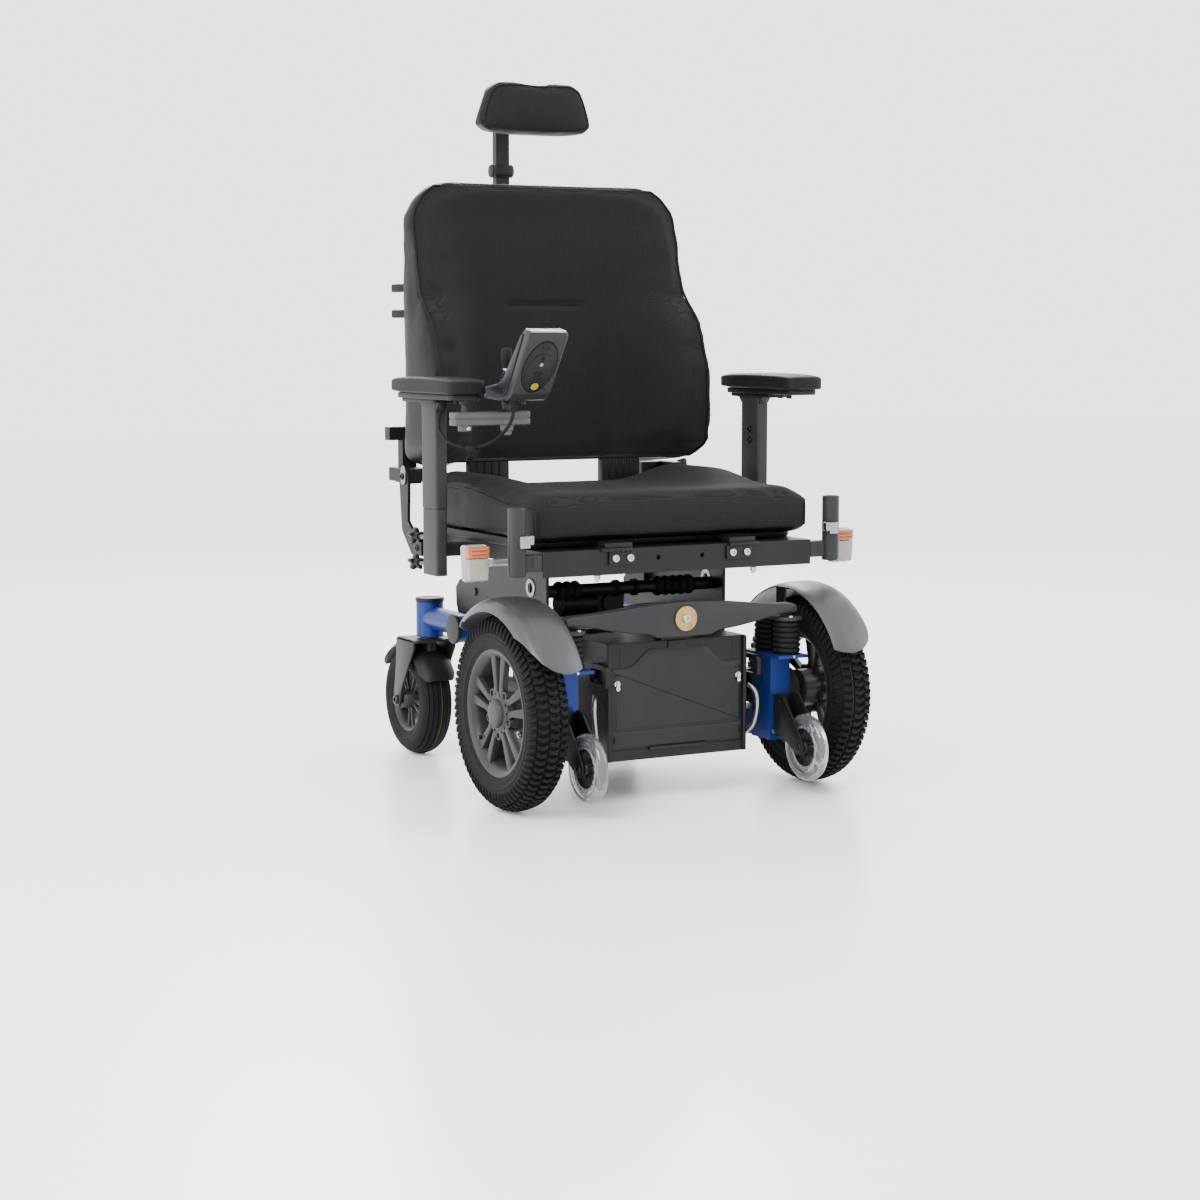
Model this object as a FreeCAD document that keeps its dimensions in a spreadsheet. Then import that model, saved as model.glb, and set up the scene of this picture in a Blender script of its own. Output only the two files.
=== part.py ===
import FreeCAD, Part
import math
import os
import Sketcher

# Power wheelchair with front drive wheels, a rocking crossbar in front, rear casters,
# a tilting seat, a reclining back and a joystick on the user's right.
# Front is -Y, the user's left is +X, up is +Z. Lengths in millimetres.
# Distances along Y are given from the drive axle and moved to the row's origin by axle_y.

DRIVING = {
    "axle_y": -269.5,          # drive axle, from the middle of the chair's length
    "wheel_r": 178.0,          # 14 inch drive wheel
    "wheel_x": 317.0,          # middle of the drive tyre
    "tyre_w": 76.0,
    "rim_r": 114.0,
    "axle_r": 12.45,
    "caster_r": 112.5,
    "caster_x": 216.0,
    "swivel_y": 562.0,
    "caster_y": 622.0,
    "caster_w": 66.0,
    "tip_r": 62.5,             # anti-tip wheel
    "tip_x": 230.0,
    "tip_y": -133.0,
    "tip_z": 89.0,
    "tip_w": 24.0,
    "box_x": 147.0,            # half width of the battery box
    "box_low": 79.0,
    "box_top": 295.0,
    "box_front": -48.0,
    "box_back": 330.0,
    "plate": 3.0,              # sheet thickness
    "post_in": 204.0,          # blue drive arm post
    "post_out": 247.0,
    "post_front": -47.0,
    "post_back": 18.0,
    "post_low": 92.0,
    "post_top": 250.0,
    "arm_pivot_y": 205.0,
    "arm_pivot_z": 118.0,
    "bellows_r": 25.0,
    "bellows_x": 229.0,
    "bellows_y": -63.0,
    "bellows_gap": 66.0,
    "bellows_top": 325.0,
    "rock_z": 337.0,           # crossbar pivot
    "cover_x": 135.0,
    "cover_low": 98.0,
    "cover_top": 287.0,
    "latch_x": 128.0,
    "latch_z": 222.0,
    "side_x": 190.0,           # seat module side plates
    "tilt_y": 400.0,
    "tilt_z": 350.0,
    "seat_x": 302.0,
    "seat_front": -58.0,
    "seat_back": 425.0,
    "seat_low": 484.0,
    "seat_top": 568.0,
    "rail_low": 422.0,
    "rail_top": 468.0,
    "receiver_x": 330.0,
    "receiver_r": 16.0,
    "socket_r": 12.0,
    "lamp_x": 386.0,
    "arm_x": 349.0,
    "arm_y": 245.0,
    "sleeve_low": 528.0,
    "sleeve_top": 725.0,
    "pad_x": 360.0,
    "pad_low": 742.0,
    "pad_top": 773.0,
    "pad_front": 70.0,
    "pad_back": 342.0,
    "pad_half": 41.0,
    "recline_y": 462.0,
    "recline_z": 575.0,
    "back_x": 305.0,
    "back_low": 592.0,
    "back_top": 1152.0,
    "stem_y": 668.0,
    "head_z": 1240.0,
    "swing_x": -360.0,
    "swing_y": 90.0,
    "stick_x": -276.5,
    "case_low": 732.0,
}

doc = FreeCAD.newDocument("PowerWheelchair")
sheet = doc.addObject("Spreadsheet::Sheet", "Sizes")
for row, (alias, number) in enumerate(DRIVING.items(), start=1):
    sheet.set("A%d" % row, alias)
    sheet.set("B%d" % row, repr(number))
    sheet.setAlias("B%d" % row, alias)
doc.recompute()


class Size:
    """A number with the spreadsheet expression that gives it."""

    def __init__(self, value, text):
        self.value = float(value)
        self.text = text

    def __add__(self, other):
        other = size(other)
        return Size(self.value + other.value, "(%s + %s)" % (self.text, other.text))

    def __sub__(self, other):
        other = size(other)
        return Size(self.value - other.value, "(%s - %s)" % (self.text, other.text))

    def __mul__(self, other):
        other = size(other)
        return Size(self.value * other.value, "(%s * %s)" % (self.text, other.text))

    def __truediv__(self, other):
        other = size(other)
        return Size(self.value / other.value, "(%s / %s)" % (self.text, other.text))

    def __radd__(self, other):
        return size(other) + self

    def __rsub__(self, other):
        return size(other) - self

    def __rmul__(self, other):
        return size(other) * self

    def __neg__(self):
        return size(-1) * self


def size(value):
    """Turn a plain number into a Size."""
    if isinstance(value, Size):
        return value
    return Size(value, "(%r)" % float(value))


def cell(alias):
    return Size(DRIVING[alias], "Sizes.%s" % alias)


AXLE_Y = cell("axle_y")
SIDES = (("right", -1), ("left", 1))   # the user's own right and left
nodes = {}
count = {"made": 0}


def fresh(kind):
    count["made"] += 1
    return "%s%03d" % (kind, count["made"])


def bind(thing, prop, value):
    thing.setExpression(prop, size(value).text)


def place(thing, x=0, y=0, z=0, axis=None, angle=0):
    """Put a primitive at a point, turned about one of the row's axes."""
    if axis is not None:
        turn = FreeCAD.Rotation(FreeCAD.Vector(*axis), angle)
        thing.Placement = FreeCAD.Placement(FreeCAD.Vector(0, 0, 0), turn)
    bind(thing, "Placement.Base.x", x)
    bind(thing, "Placement.Base.y", size(y) + AXLE_Y)
    bind(thing, "Placement.Base.z", z)
    return thing


def block(x0, x1, y0, y1, z0, z1):
    """A box between two corners. The corners may be given in either order."""
    x0, x1 = sorted((size(x0), size(x1)), key=lambda part: part.value)
    made = doc.addObject("Part::Box", fresh("Block"))
    bind(made, "Length", x1 - x0)
    bind(made, "Width", size(y1) - y0)
    bind(made, "Height", size(z1) - z0)
    return place(made, x0, y0, z0)


def rod_x(x0, x1, y, z, radius):
    x0, x1 = sorted((size(x0), size(x1)), key=lambda part: part.value)
    made = doc.addObject("Part::Cylinder", fresh("RodX"))
    bind(made, "Radius", radius)
    bind(made, "Height", x1 - x0)
    return place(made, x0, y, z, (0, 1, 0), 90)


def rod_y(x, y0, y1, z, radius):
    made = doc.addObject("Part::Cylinder", fresh("RodY"))
    bind(made, "Radius", radius)
    bind(made, "Height", size(y1) - y0)
    return place(made, x, y0, z, (1, 0, 0), -90)


def rod_z(x, y, z0, z1, radius):
    made = doc.addObject("Part::Cylinder", fresh("RodZ"))
    bind(made, "Radius", radius)
    bind(made, "Height", size(z1) - z0)
    return place(made, x, y, z0)


def fuse(*things):
    if len(things) == 1:
        return things[0]
    made = doc.addObject("Part::MultiFuse", fresh("Fuse"))
    made.Shapes = list(things)
    return made


def cut(base, *tools):
    made = doc.addObject("Part::Cut", fresh("Cut"))
    made.Base = base
    made.Tool = fuse(*tools)
    return made


def common(base, tool):
    made = doc.addObject("Part::Common", fresh("Common"))
    made.Base = base
    made.Tool = tool
    return made


def group(*things):
    """Separate solids that share one node."""
    made = doc.addObject("Part::Compound", fresh("Group"))
    made.Links = list(things)
    return made


def node(label, thing):
    thing.Label = label
    nodes[label] = thing
    return thing


def outline_sketch(body, plane, points):
    """A closed outline whose corners are held by dimensions from the sheet."""
    sketch = body.newObject("Sketcher::SketchObject", fresh("Sketch"))
    base = [one for one in body.Origin.OriginFeatures if one.Role == plane][0]
    sketch.AttachmentSupport = [(base, "")]
    sketch.MapMode = "FlatFace"
    corners = [(size(a), size(b)) for a, b in points]
    total = len(corners)
    for index in range(total):
        a, b = corners[index]
        c, d = corners[(index + 1) % total]
        start = FreeCAD.Vector(a.value, b.value, 0)
        end = FreeCAD.Vector(c.value, d.value, 0)
        sketch.addGeometry(Part.LineSegment(start, end), False)
    for index in range(total):
        sketch.addConstraint(Sketcher.Constraint("Coincident", index, 2, (index + 1) % total, 1))
    for index, (a, b) in enumerate(corners):
        for kind, value in (("DistanceX", a), ("DistanceY", b)):
            held = sketch.addConstraint(Sketcher.Constraint(kind, -1, 1, index, 1, value.value))
            sketch.setExpression("Constraints[%d]" % held, value.text)
    return sketch


def flat_part(plane, points, start, depth, shift=(0, 0, 0)):
    """A plate cut to an outline: the outline on one origin plane, padded from start by depth.

    XY pads upwards, YZ towards +X and XZ towards +Y. The Y coordinate is from the drive axle.
    """
    body = doc.addObject("PartDesign::Body", fresh("Body"))
    sketch = outline_sketch(body, plane + "_Plane", points)
    pad = body.newObject("PartDesign::Pad", fresh("Pad"))
    pad.Profile = sketch
    bind(pad, "Length", depth)
    along = {"XY": (0, 0, 1), "YZ": (1, 0, 0), "XZ": (0, 1, 0)}[plane]
    pad.Reversed = plane == "XZ"
    sketch.Visibility = False
    move = [size(part) for part in shift]
    for index in range(3):
        if along[index]:
            move[index] = move[index] + start
    place(body, *move)
    return body


def turned_part(points, x, y, z, axis="X", angle=360):
    """A turned piece: (along, radius) points spun about an axis through a point."""
    body = doc.addObject("PartDesign::Body", fresh("Body"))
    sketch = outline_sketch(body, "XZ_Plane", points)
    spin = body.newObject("PartDesign::Revolution", fresh("Turned"))
    spin.Profile = sketch
    spin.ReferenceAxis = (sketch, ["H_Axis"])
    spin.Angle = angle
    turn = {"X": None, "Z": ((0, 1, 0), -90), "Y": ((0, 0, 1), 90)}[axis]
    if turn is None:
        return place(body, x, y, z)
    return place(body, x, y, z, *turn)


def rounded(half_a, half_b, radius, steps=4):
    """Corner points of a rectangle with rounded corners, centred on zero."""
    points = []
    for index, (sa, sb) in enumerate(((1, 1), (-1, 1), (-1, -1), (1, -1))):
        for step in range(steps + 1):
            turn = math.radians(90 * index + 90 * step / steps)
            points.append((sa * (half_a - radius) + radius * math.cos(turn),
                           sb * (half_b - radius) + radius * math.sin(turn)))
    return points


# ---------------------------------------------------------------- chassis

def battery_box():
    """Welded sheet box, open at the front, with the lugs that carry the arms and the crossbar."""
    bx, low, top = cell("box_x"), cell("box_low"), cell("box_top")
    front, back, wall = cell("box_front"), cell("box_back"), cell("plate")
    shell = cut(block(-bx, bx, front, back, low, top),
                block(-(bx - wall), bx - wall, front - 1, back - wall, low + wall, top - wall))
    arm_y, arm_z = cell("arm_pivot_y"), cell("arm_pivot_z")
    pins = [rod_x(side * bx, side * (cell("post_out") + 6), arm_y, arm_z, 9.95) for _, side in SIDES]
    rock = cell("rock_z")
    tower = block(-32, 32, -46, -20, top, rock + 22)
    rock_pin = rod_y(0, -80, -46, rock, 8.45)
    deck = block(-(cell("side_x") + wall), cell("side_x") + wall, 130, 322, top, top + 5)
    beam_lug = block(-110, 110, 322, back, top - 60, top + 5)
    return fuse(shell, tower, rock_pin, deck, beam_lug, *pins)


def batteries():
    reach = cell("box_x") - 9
    low = cell("box_low") + cell("plate")
    return group(block(-reach, reach, -36, 138, low, low + 190),
                 block(-reach, reach, 146, 320, low, low + 190))


def rear_beam():
    """Cross tube behind the box with an arm and a swivel head on each side."""
    z = cell("box_top") - 10
    tube = rod_x(-255, 255, 360, z, 27)
    parts = [tube]
    holes = []
    for _, side in SIDES:
        x = side * cell("caster_x")
        head_y = cell("swivel_y")
        parts.append(block(x - 19, x + 19, 370, head_y, z - 20, z + 20))
        parts.append(rod_z(x, head_y, 246, 318, 27.5))
        holes.append(rod_z(x, head_y, 240, 300, 12.05))
    return cut(fuse(*parts), *holes)


def end_caps():
    caps = []
    z = cell("box_top") - 10
    for _, side in SIDES:
        caps.append(rod_x(side * 255, side * 262, 360, z, 29))
        caps.append(rod_z(side * cell("caster_x"), cell("swivel_y"), 318, 325, 29))
    return group(*caps)


def tie_down_loops():
    """A welded D-shaped ring on each side of the box front."""
    rings = []
    for _, side in SIDES:
        outer = flat_part("YZ", rounded(36, 22, 14), side * 160, 8, (0, -34, 236))
        inner = flat_part("YZ", rounded(27, 13, 9), side * 160 - 1, 10, (0, -34, 236))
        stem = block(side * cell("box_x"), side * 160, -6, 2, 226, 248)
        rings.append(fuse(cut(outer, inner), stem))
    return group(*rings)


def side_plates():
    plates = []
    profile = [(98, 240), (322, 240), (336, 286), (470, 286), (486, 318), (488, 352), (470, 368),
               (210, 438), (110, 438), (98, 426)]
    for _, side in SIDES:
        plate = flat_part("YZ", profile, side * cell("side_x") - 3, 6)
        x0, x1 = side * cell("side_x") - 10, side * cell("side_x") + 10
        plates.append(cut(plate, rod_x(x0, x1, 161, 380, 18),
                          rod_x(x0, x1, cell("tilt_y"), cell("tilt_z"), 8.05),
                          rod_x(x0, x1, 360, cell("box_top") - 10, 27),
                          block(x0, x1, 130, 322, cell("box_top"), cell("box_top") + 5)))
    return group(*plates)


def tilt_actuator():
    """Sealed linear actuator lying between the side plates."""
    motor = rod_x(-120, -40, 190, 342, 24)
    tube = rod_y(-20, 160, 372, 342, 19)
    gear = block(-48, 8, 166, 214, 318, 370)
    return fuse(motor, tube, gear)


def module_tube():
    """Cross tube that ties the side plates together."""
    inner = cell("side_x") - 3
    return rod_x(-inner, inner, 148, 372, 12)


def chassis():
    node("battery_box", battery_box())
    node("batteries", batteries())
    node("rear_beam", rear_beam())
    node("beam_caps", end_caps())
    node("tie_down_loops", tie_down_loops())
    node("module_side_plates", side_plates())
    node("tilt_actuator", tilt_actuator())
    node("module_cross_tube", module_tube())


# ---------------------------------------------------------------- crossbar

def crossbar():
    """Thick rocking bar: arched top, tapered ends and a tab down to the battery cover."""
    half = [(0, 367), (60, 365), (110, 361), (155, 356), (200, 353), (236, 352), (243, 345),
            (243, 333), (200, 332), (160, 322), (110, 315), (72, 312), (56, 304), (0, 303)]
    points = half + [(-a, b) for a, b in reversed(half[1:-1])]
    plate = flat_part("XZ", points, -78, 28)
    bore = rod_y(0, -90, -40, cell("rock_z"), 8.5)
    return cut(plate, bore)


def crossbar_parts():
    node("crossbar", crossbar())
    washer = cut(rod_y(0, -82, -78, cell("rock_z"), 22.5), rod_y(0, -84, -76, cell("rock_z"), 8.5))
    node("crossbar_washer", washer)


# ---------------------------------------------------------------- drive arms

def drive_arm(side):
    """Blue post with a top plate and an arm back to the pivot in the box."""
    near, far = side * cell("post_in"), side * cell("post_out")
    front, back = cell("post_front"), cell("post_back")
    post = block(near, far, front, back, cell("post_low"), cell("post_top"))
    cap = block(side * 194, side * 258, -90, 34, cell("post_top"), cell("post_top") + 6)
    pivot_y, pivot_z = cell("arm_pivot_y"), cell("arm_pivot_z")
    arm = block(near, far, back, pivot_y, cell("post_low") + 2, cell("post_low") + 48)
    eye = rod_x(near, far, pivot_y, pivot_z, 26)
    bore = rod_x(side * 190, side * 260, pivot_y, pivot_z, 10)
    return cut(fuse(post, cap, arm, eye), bore)


def drive_motor(side):
    """Right-angle gear motor with the wheel shaft."""
    z = cell("wheel_r")
    gearbox = rod_x(side * cell("post_out"), side * 272, 0, z, 44)
    shaft = rod_x(side * 272, side * 352, 0, z, cell("axle_r"))
    link = block(side * 210, side * 258, cell("post_back"), 60, z - 26, z + 26)
    motor = rod_y(side * 228, 60, 196, z + 4, 31)
    return fuse(gearbox, shaft, link, motor)


def fender(side):
    """Curved cover over the drive wheel, held by a tab to the arm's top plate."""
    outer = [(268, 176), (274, 192), (288, 203), (308, 207), (328, 206), (345, 198), (356, 186),
             (360, 172), (356, 172), (352, 184), (342, 194), (327, 202), (308, 203), (290, 199),
             (278, 189), (272, 176)]
    shell = turned_part([(a, b) for a, b in outer], 0, 0, cell("wheel_r"))
    if side < 0:
        flip = [(-a, b) for a, b in outer]
        shell = turned_part(flip, 0, 0, cell("wheel_r"))
    wedge = flat_part("YZ", [(0, 178), (-230, 300), (-230, 420), (230, 420), (230, 364)],
                      side * 310 - 60, 120)
    kept = common(shell, wedge)
    tab = block(side * 258, side * 266, -20, 25, cell("post_top"), 355)
    foot = block(side * 258, side * 276, -20, 25, 352, 360)
    return fuse(kept, tab, foot)


def tip_fork(side):
    """Two plates from the post's front down to the anti-tip wheel's axle."""
    x = side * cell("tip_x")
    y, z = cell("tip_y"), cell("tip_z")
    profile = [(-52, 104), (-52, 180), (-78, 182), (-118, 138), (y - 15, z + 10), (y - 15, z - 8),
               (y + 2, z - 15), (-92, 96)]
    plates = [flat_part("YZ", profile, x + offset, 4) for offset in (-20, 16)]
    bridge = block(x - 20, x + 20, -52, cell("post_front"), 108, 178)
    axle = rod_x(x - 22, x + 22, y, z, 4.95)
    return fuse(bridge, axle, *plates)


def bellows(side):
    """Two ribbed rubber springs under one cap plate."""
    x = side * cell("bellows_x")
    low = cell("post_top") + 6
    height = cell("bellows_top") - low - 5
    ribs = 5
    pitch = height / ribs
    points = [(0, 0)]
    for index in range(ribs):
        points.append((pitch * index, 20))
        points.append((pitch * (index + 0.28), cell("bellows_r")))
        points.append((pitch * (index + 0.72), cell("bellows_r")))
    points.append((height, 20))
    points.append((height, 0))
    springs = []
    for index in range(2):
        y = cell("bellows_y") + index * cell("bellows_gap")
        springs.append(turned_part(points, x, y, low, "Z"))
    cap = block(x - 27, x + 27, -92, 32, low + height, cell("bellows_top"))
    return group(*springs, cap)


def drive_arms():
    for name, side in SIDES:
        node(name + "_drive_arm", drive_arm(side))
        node(name + "_gear_motor", drive_motor(side))
        node(name + "_fender", fender(side))
        node(name + "_anti_tip_fork", tip_fork(side))
        node(name + "_bellows", bellows(side))


# ---------------------------------------------------------------- wheels

def tyre(x, y, z, radius, seat_r, width):
    """Round-shouldered tyre that sits on a rim of radius seat_r."""
    half = size(width) / 2
    radius = size(radius)
    deep = radius - size(seat_r)
    right = [(half * 0.80, radius - deep), (half, radius - deep * 0.62), (half * 0.96, radius - deep * 0.22),
             (half * 0.66, radius - deep * 0.03), (0, radius)]
    points = right + [(-a, b) for a, b in reversed(right[:-1])]
    return turned_part([(size(a), size(b)) for a, b in points], x, y, z)


def drive_rim(side):
    x = side * cell("wheel_x")
    z = cell("wheel_r")
    seat = cell("rim_r")
    half = cell("tyre_w") / 2 * 0.80
    barrel = cut(rod_x(x - half, x + half, 0, z, seat), rod_x(x - half - 1, x + half + 1, 0, z, seat - 9))
    inner, outer = x + side * 12, x + side * 26
    disc = rod_x(inner, outer, 0, z, seat - 9)
    windows = []
    for index in range(5):
        turn = math.radians(90 + 72 * index + 36)
        hole_y, hole_z = 72 * math.cos(turn), z + 72 * math.sin(turn)
        windows.append(rod_x(inner - side, outer + side, hole_y, hole_z, 23))
    hub = rod_x(side * 290, side * 348, 0, z, 40)
    cap = rod_x(side * 348, side * 357, 0, z, 26)
    bore = rod_x(side * 280, side * 353, 0, z, cell("axle_r") + 0.05)
    return cut(fuse(cut(fuse(disc, barrel), *windows), hub, cap), bore)


def tip_wheel(side):
    x, y, z = side * cell("tip_x"), cell("tip_y"), cell("tip_z")
    half = cell("tip_w") / 2
    ring = tyre(x, y, z, cell("tip_r"), 44, cell("tip_w"))
    hub = cut(rod_x(x - half * 0.80, x + half * 0.80, y, z, 44), rod_x(x - 14, x + 14, y, z, 5))
    return ring, hub


def wheels():
    for name, side in SIDES:
        x, z = side * cell("wheel_x"), cell("wheel_r")
        node(name + "_drive_tyre", tyre(x, 0, z, cell("wheel_r"), cell("rim_r"), cell("tyre_w")))
        node(name + "_drive_rim", drive_rim(side))
        ring, hub = tip_wheel(side)
        node(name + "_anti_tip_tyre", ring)
        node(name + "_anti_tip_hub", hub)


def caster_fork(side):
    """Swivel stem, crown, two legs, the axle and a guard over the wheel."""
    x, y = side * cell("caster_x"), cell("swivel_y")
    wheel_y, wheel_z, radius = cell("caster_y"), cell("caster_r"), cell("caster_r")
    stem = rod_z(x, y, 240, 299, 12)
    crown = block(x - 47, x + 47, y - 28, y + 60, 236, 242)
    legs = []
    profile = [(534, 242), (622, 242), (640, 205), (646, wheel_z + 8), (634, wheel_z - 14),
               (612, wheel_z - 14), (588, wheel_z + 30), (545, 190), (534, 215)]
    for offset in (-47, 42):
        legs.append(flat_part("YZ", profile, x + offset, 5))
    axle = rod_x(x - 47, x + 47, wheel_y, wheel_z, 7.95)
    guard = cut(rod_x(x - 44, x + 44, wheel_y, wheel_z, radius + 12),
                rod_x(x - 45, x + 45, wheel_y, wheel_z, radius + 8.5))
    window = flat_part("YZ", [(560, 206), (560, 260), (700, 260), (766, 190), (766, 160)], x - 50, 100)
    return fuse(stem, crown, axle, common(guard, window), *legs)


def caster_rim(side):
    x, y, z = side * cell("caster_x"), cell("caster_y"), cell("caster_r")
    half = cell("caster_w") / 2 * 0.80
    barrel = cut(rod_x(x - half, x + half, y, z, 64), rod_x(x - half - 1, x + half + 1, y, z, 57))
    disc = rod_x(x - 9, x + 9, y, z, 58)
    hub = rod_x(x - 38, x + 38, y, z, 20)
    windows = []
    for index in range(5):
        turn = math.radians(90 + 72 * index)
        windows.append(rod_x(x - 12, x + 12, y + 38 * math.cos(turn), z + 38 * math.sin(turn), 13))
    return cut(fuse(cut(disc, *windows), barrel, hub), rod_x(x - 40, x + 40, y, z, 8))


def casters():
    for name, side in SIDES:
        x, y, z = side * cell("caster_x"), cell("caster_y"), cell("caster_r")
        node(name + "_caster_fork", caster_fork(side))
        node(name + "_caster_tyre", tyre(x, y, z, cell("caster_r"), 64, cell("caster_w")))
        node(name + "_caster_rim", caster_rim(side))


# ---------------------------------------------------------------- battery cover

def battery_cover():
    x, low, top = cell("cover_x"), cell("cover_low"), cell("cover_top")
    shoulder = top - 34
    half = [(x, low), (x, shoulder), (98, shoulder), (56, top)]
    points = half + [(-a, b) for a, b in reversed(half)]
    front = cell("box_front")
    sheet_part = flat_part("XZ", points, front - 5, 4)
    step = block(-(x - 5), x - 5, front - 9, front - 5, low + 6, low + 40)
    hinge = rod_x(-60, 60, front - 5, low, 3)
    holes = [rod_y(side * cell("latch_x"), front - 12, front + 2, cell("latch_z"), 4.1) for _, side in SIDES]
    return cut(fuse(sheet_part, step, hinge), *holes)


def latch(side):
    """Quarter-turn fastener with a wing."""
    x, z = side * cell("latch_x"), cell("latch_z")
    front = cell("box_front")
    return fuse(rod_y(x, front - 8, front - 1.5, z, 4), rod_y(x, front - 8, front - 5.4, z, 6),
                block(x - 2, x + 2, front - 12, front - 8, z - 12, z + 5))


def cover_parts():
    node("battery_cover", battery_cover())
    for name, side in SIDES:
        node(name + "_cover_latch", latch(side))


# ---------------------------------------------------------------- seat

def seat_frame():
    """Ladder frame with the tilt hangers, armrest sockets and back hinge brackets."""
    low, top = cell("rail_low"), cell("rail_top")
    parts = [block(-282, 282, -60, -32, low, top), block(-282, 282, 400, 430, low + 10, top)]
    holes = [rod_y(side * 46, -70, -20, 449, 4.5) for _, side in SIDES]
    hub_y, hub_z = cell("tilt_y"), cell("tilt_z")
    for _, side in SIDES:
        parts.append(block(side * 250, side * 282, -32, 400, low + 18, top))
        parts.append(block(side * 174, side * 182, hub_y - 20, hub_y + 22, hub_z - 18, low + 18))
        parts.append(block(side * 174, side * 182, hub_y, 430, low + 10, low + 30))
        parts.append(rod_x(side * 176, side * 196, hub_y, hub_z, 8))
        arm_x, arm_y = side * cell("arm_x"), cell("arm_y")
        parts.append(block(arm_x - 8, arm_x + 8, arm_y - 25, arm_y + 25, 404, 700))
        parts.append(block(side * 282, arm_x, arm_y - 20, arm_y + 20, low + 18, top - 6))
        bracket = [(385, 426), (430, 426), (475, 470), (485, 560), (478, 590), (455, 594), (444, 575),
                   (448, 490), (420, 468), (385, 468)]
        parts.append(flat_part("YZ", bracket, side * 311 - 3, 6))
        parts.append(block(side * 282, side * 311, 388, 428, low + 12, top - 4))
        parts.append(rod_x(side * 296, side * 314, cell("recline_y"), cell("recline_z"), 7.95))
        holes.append(rod_x(side * 166, side * 172, hub_y, hub_z, 4))
    pan = block(-250, 250, -32, 400, top - 3, top)
    return cut(fuse(pan, *parts), *holes[:2])


def receivers():
    """Leg-rest tubes beside the front rail, open at the top."""
    tubes = []
    for _, side in SIDES:
        x, y = side * cell("receiver_x"), -55
        body = cut(rod_z(x, y, 427, 548, cell("receiver_r")), rod_z(x, y, 440, 549, cell("socket_r")))
        tubes.append(fuse(body, block(side * 282, x - side * 14, -60, -38, 436, 462)))
    return group(*tubes)


def lamp_housings():
    housings = []
    for _, side in SIDES:
        x = side * cell("lamp_x")
        cup = cut(block(x - 24, x + 24, -12, 12, 415, 482), block(x - 21, x + 21, -13, 4, 418, 479))
        stay = block(side * 282, x - side * 24, -8, 6, 441, 455)
        housings.append(fuse(cup, stay))
    return group(*housings)


def lamp_lenses():
    lenses = []
    for _, side in SIDES:
        x = side * cell("lamp_x")
        lenses.append(block(x - 20.5, x + 20.5, -20, -4, 418.5, 478.5))
    return group(*lenses)


def rail_bolts():
    """Four bolts with their plates on the front rail."""
    pieces = []
    for _, side in SIDES:
        for x in (108, 138):
            pieces.append(rod_y(side * x, -69, -65, 452, 7))
        pieces.append(block(side * 98, side * 148, -65, -60, 438, 462))
    return group(*[fuse(*pieces[index:index + 3]) for index in (0, 3)])


def seat_cushion():
    low, top = cell("seat_low"), cell("seat_top")
    front, back, half = cell("seat_front"), cell("seat_back"), cell("seat_x")
    profile = [(back, low), (back, top + 8), (back - 20, top + 14), (300, top + 12), (120, top + 2),
               (10, top), (front + 16, top - 6), (front + 3, top - 20), (front, top - 42), (front + 4, low)]
    slab = flat_part("YZ", profile, -half, half * 2)
    plan = flat_part("XY", [(half, 30), (half, back), (-half, back), (-half, 30), (20 - half, front + 4),
                            (40 - half, front), (half - 40, front), (half - 20, front + 4)], low, 120)
    return common(slab, plan)


def seat_parts():
    node("seat_frame", seat_frame())
    node("seat_cushion", seat_cushion())
    node("legrest_receivers", receivers())
    node("lamp_housings", lamp_housings())
    node("lamp_lenses", lamp_lenses())
    node("rail_bolts", rail_bolts())


# ---------------------------------------------------------------- armrests

def arm_sleeve(side):
    """Hollow post that slides on the seat's socket bar, with the plate under the pad."""
    x, y = side * cell("arm_x"), cell("arm_y")
    low, top = cell("sleeve_low"), cell("sleeve_top")
    tube = cut(block(x - 12, x + 12, y - 32, y + 32, low, top),
               block(x - 8.5, x + 8.5, y - 25.5, y + 25.5, low - 1, top - 8))
    pad_x = side * cell("pad_x")
    plate = block(pad_x - 30, pad_x + 30, cell("pad_front") + 8, cell("pad_back") - 12, top, cell("pad_low"))
    parts = [tube, plate]
    if side < 0:
        swing_x, swing_y = cell("swing_x"), cell("swing_y")
        parts.append(rod_z(swing_x, swing_y, 676, top + 1, 5.95))
        parts.append(rod_z(swing_x, swing_y, 676, 680, 9))
    return fuse(*parts)


def arm_pad(side):
    x = side * cell("pad_x")
    front, back, half = cell("pad_front"), cell("pad_back"), cell("pad_half")
    middle = (front + back) / 2
    length = (back - front) / 2
    plan = rounded(half, length, 30)
    return flat_part("XY", plan, cell("pad_low"), cell("pad_top") - cell("pad_low"), (x, middle, 0))


def clamp_knob(side):
    """Star knob on a screw behind the socket bar."""
    x, y = side * cell("arm_x"), cell("arm_y")
    screw = rod_y(x, y + 33, y + 80, 471, 4)
    lobes = [rod_y(x, y + 80, y + 98, 471, 9)]
    for index in range(5):
        turn = math.radians(90 + 72 * index)
        lobes.append(rod_y(x + 11 * math.cos(turn), y + 80, y + 96, 471 + 11 * math.sin(turn), 5))
    return fuse(screw, *lobes)


def armrests():
    for name, side in SIDES:
        node(name + "_arm_post", arm_sleeve(side))
        node(name + "_arm_pad", arm_pad(side))
        node(name + "_clamp_knob", clamp_knob(side))


# ---------------------------------------------------------------- backrest and headrest

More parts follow.
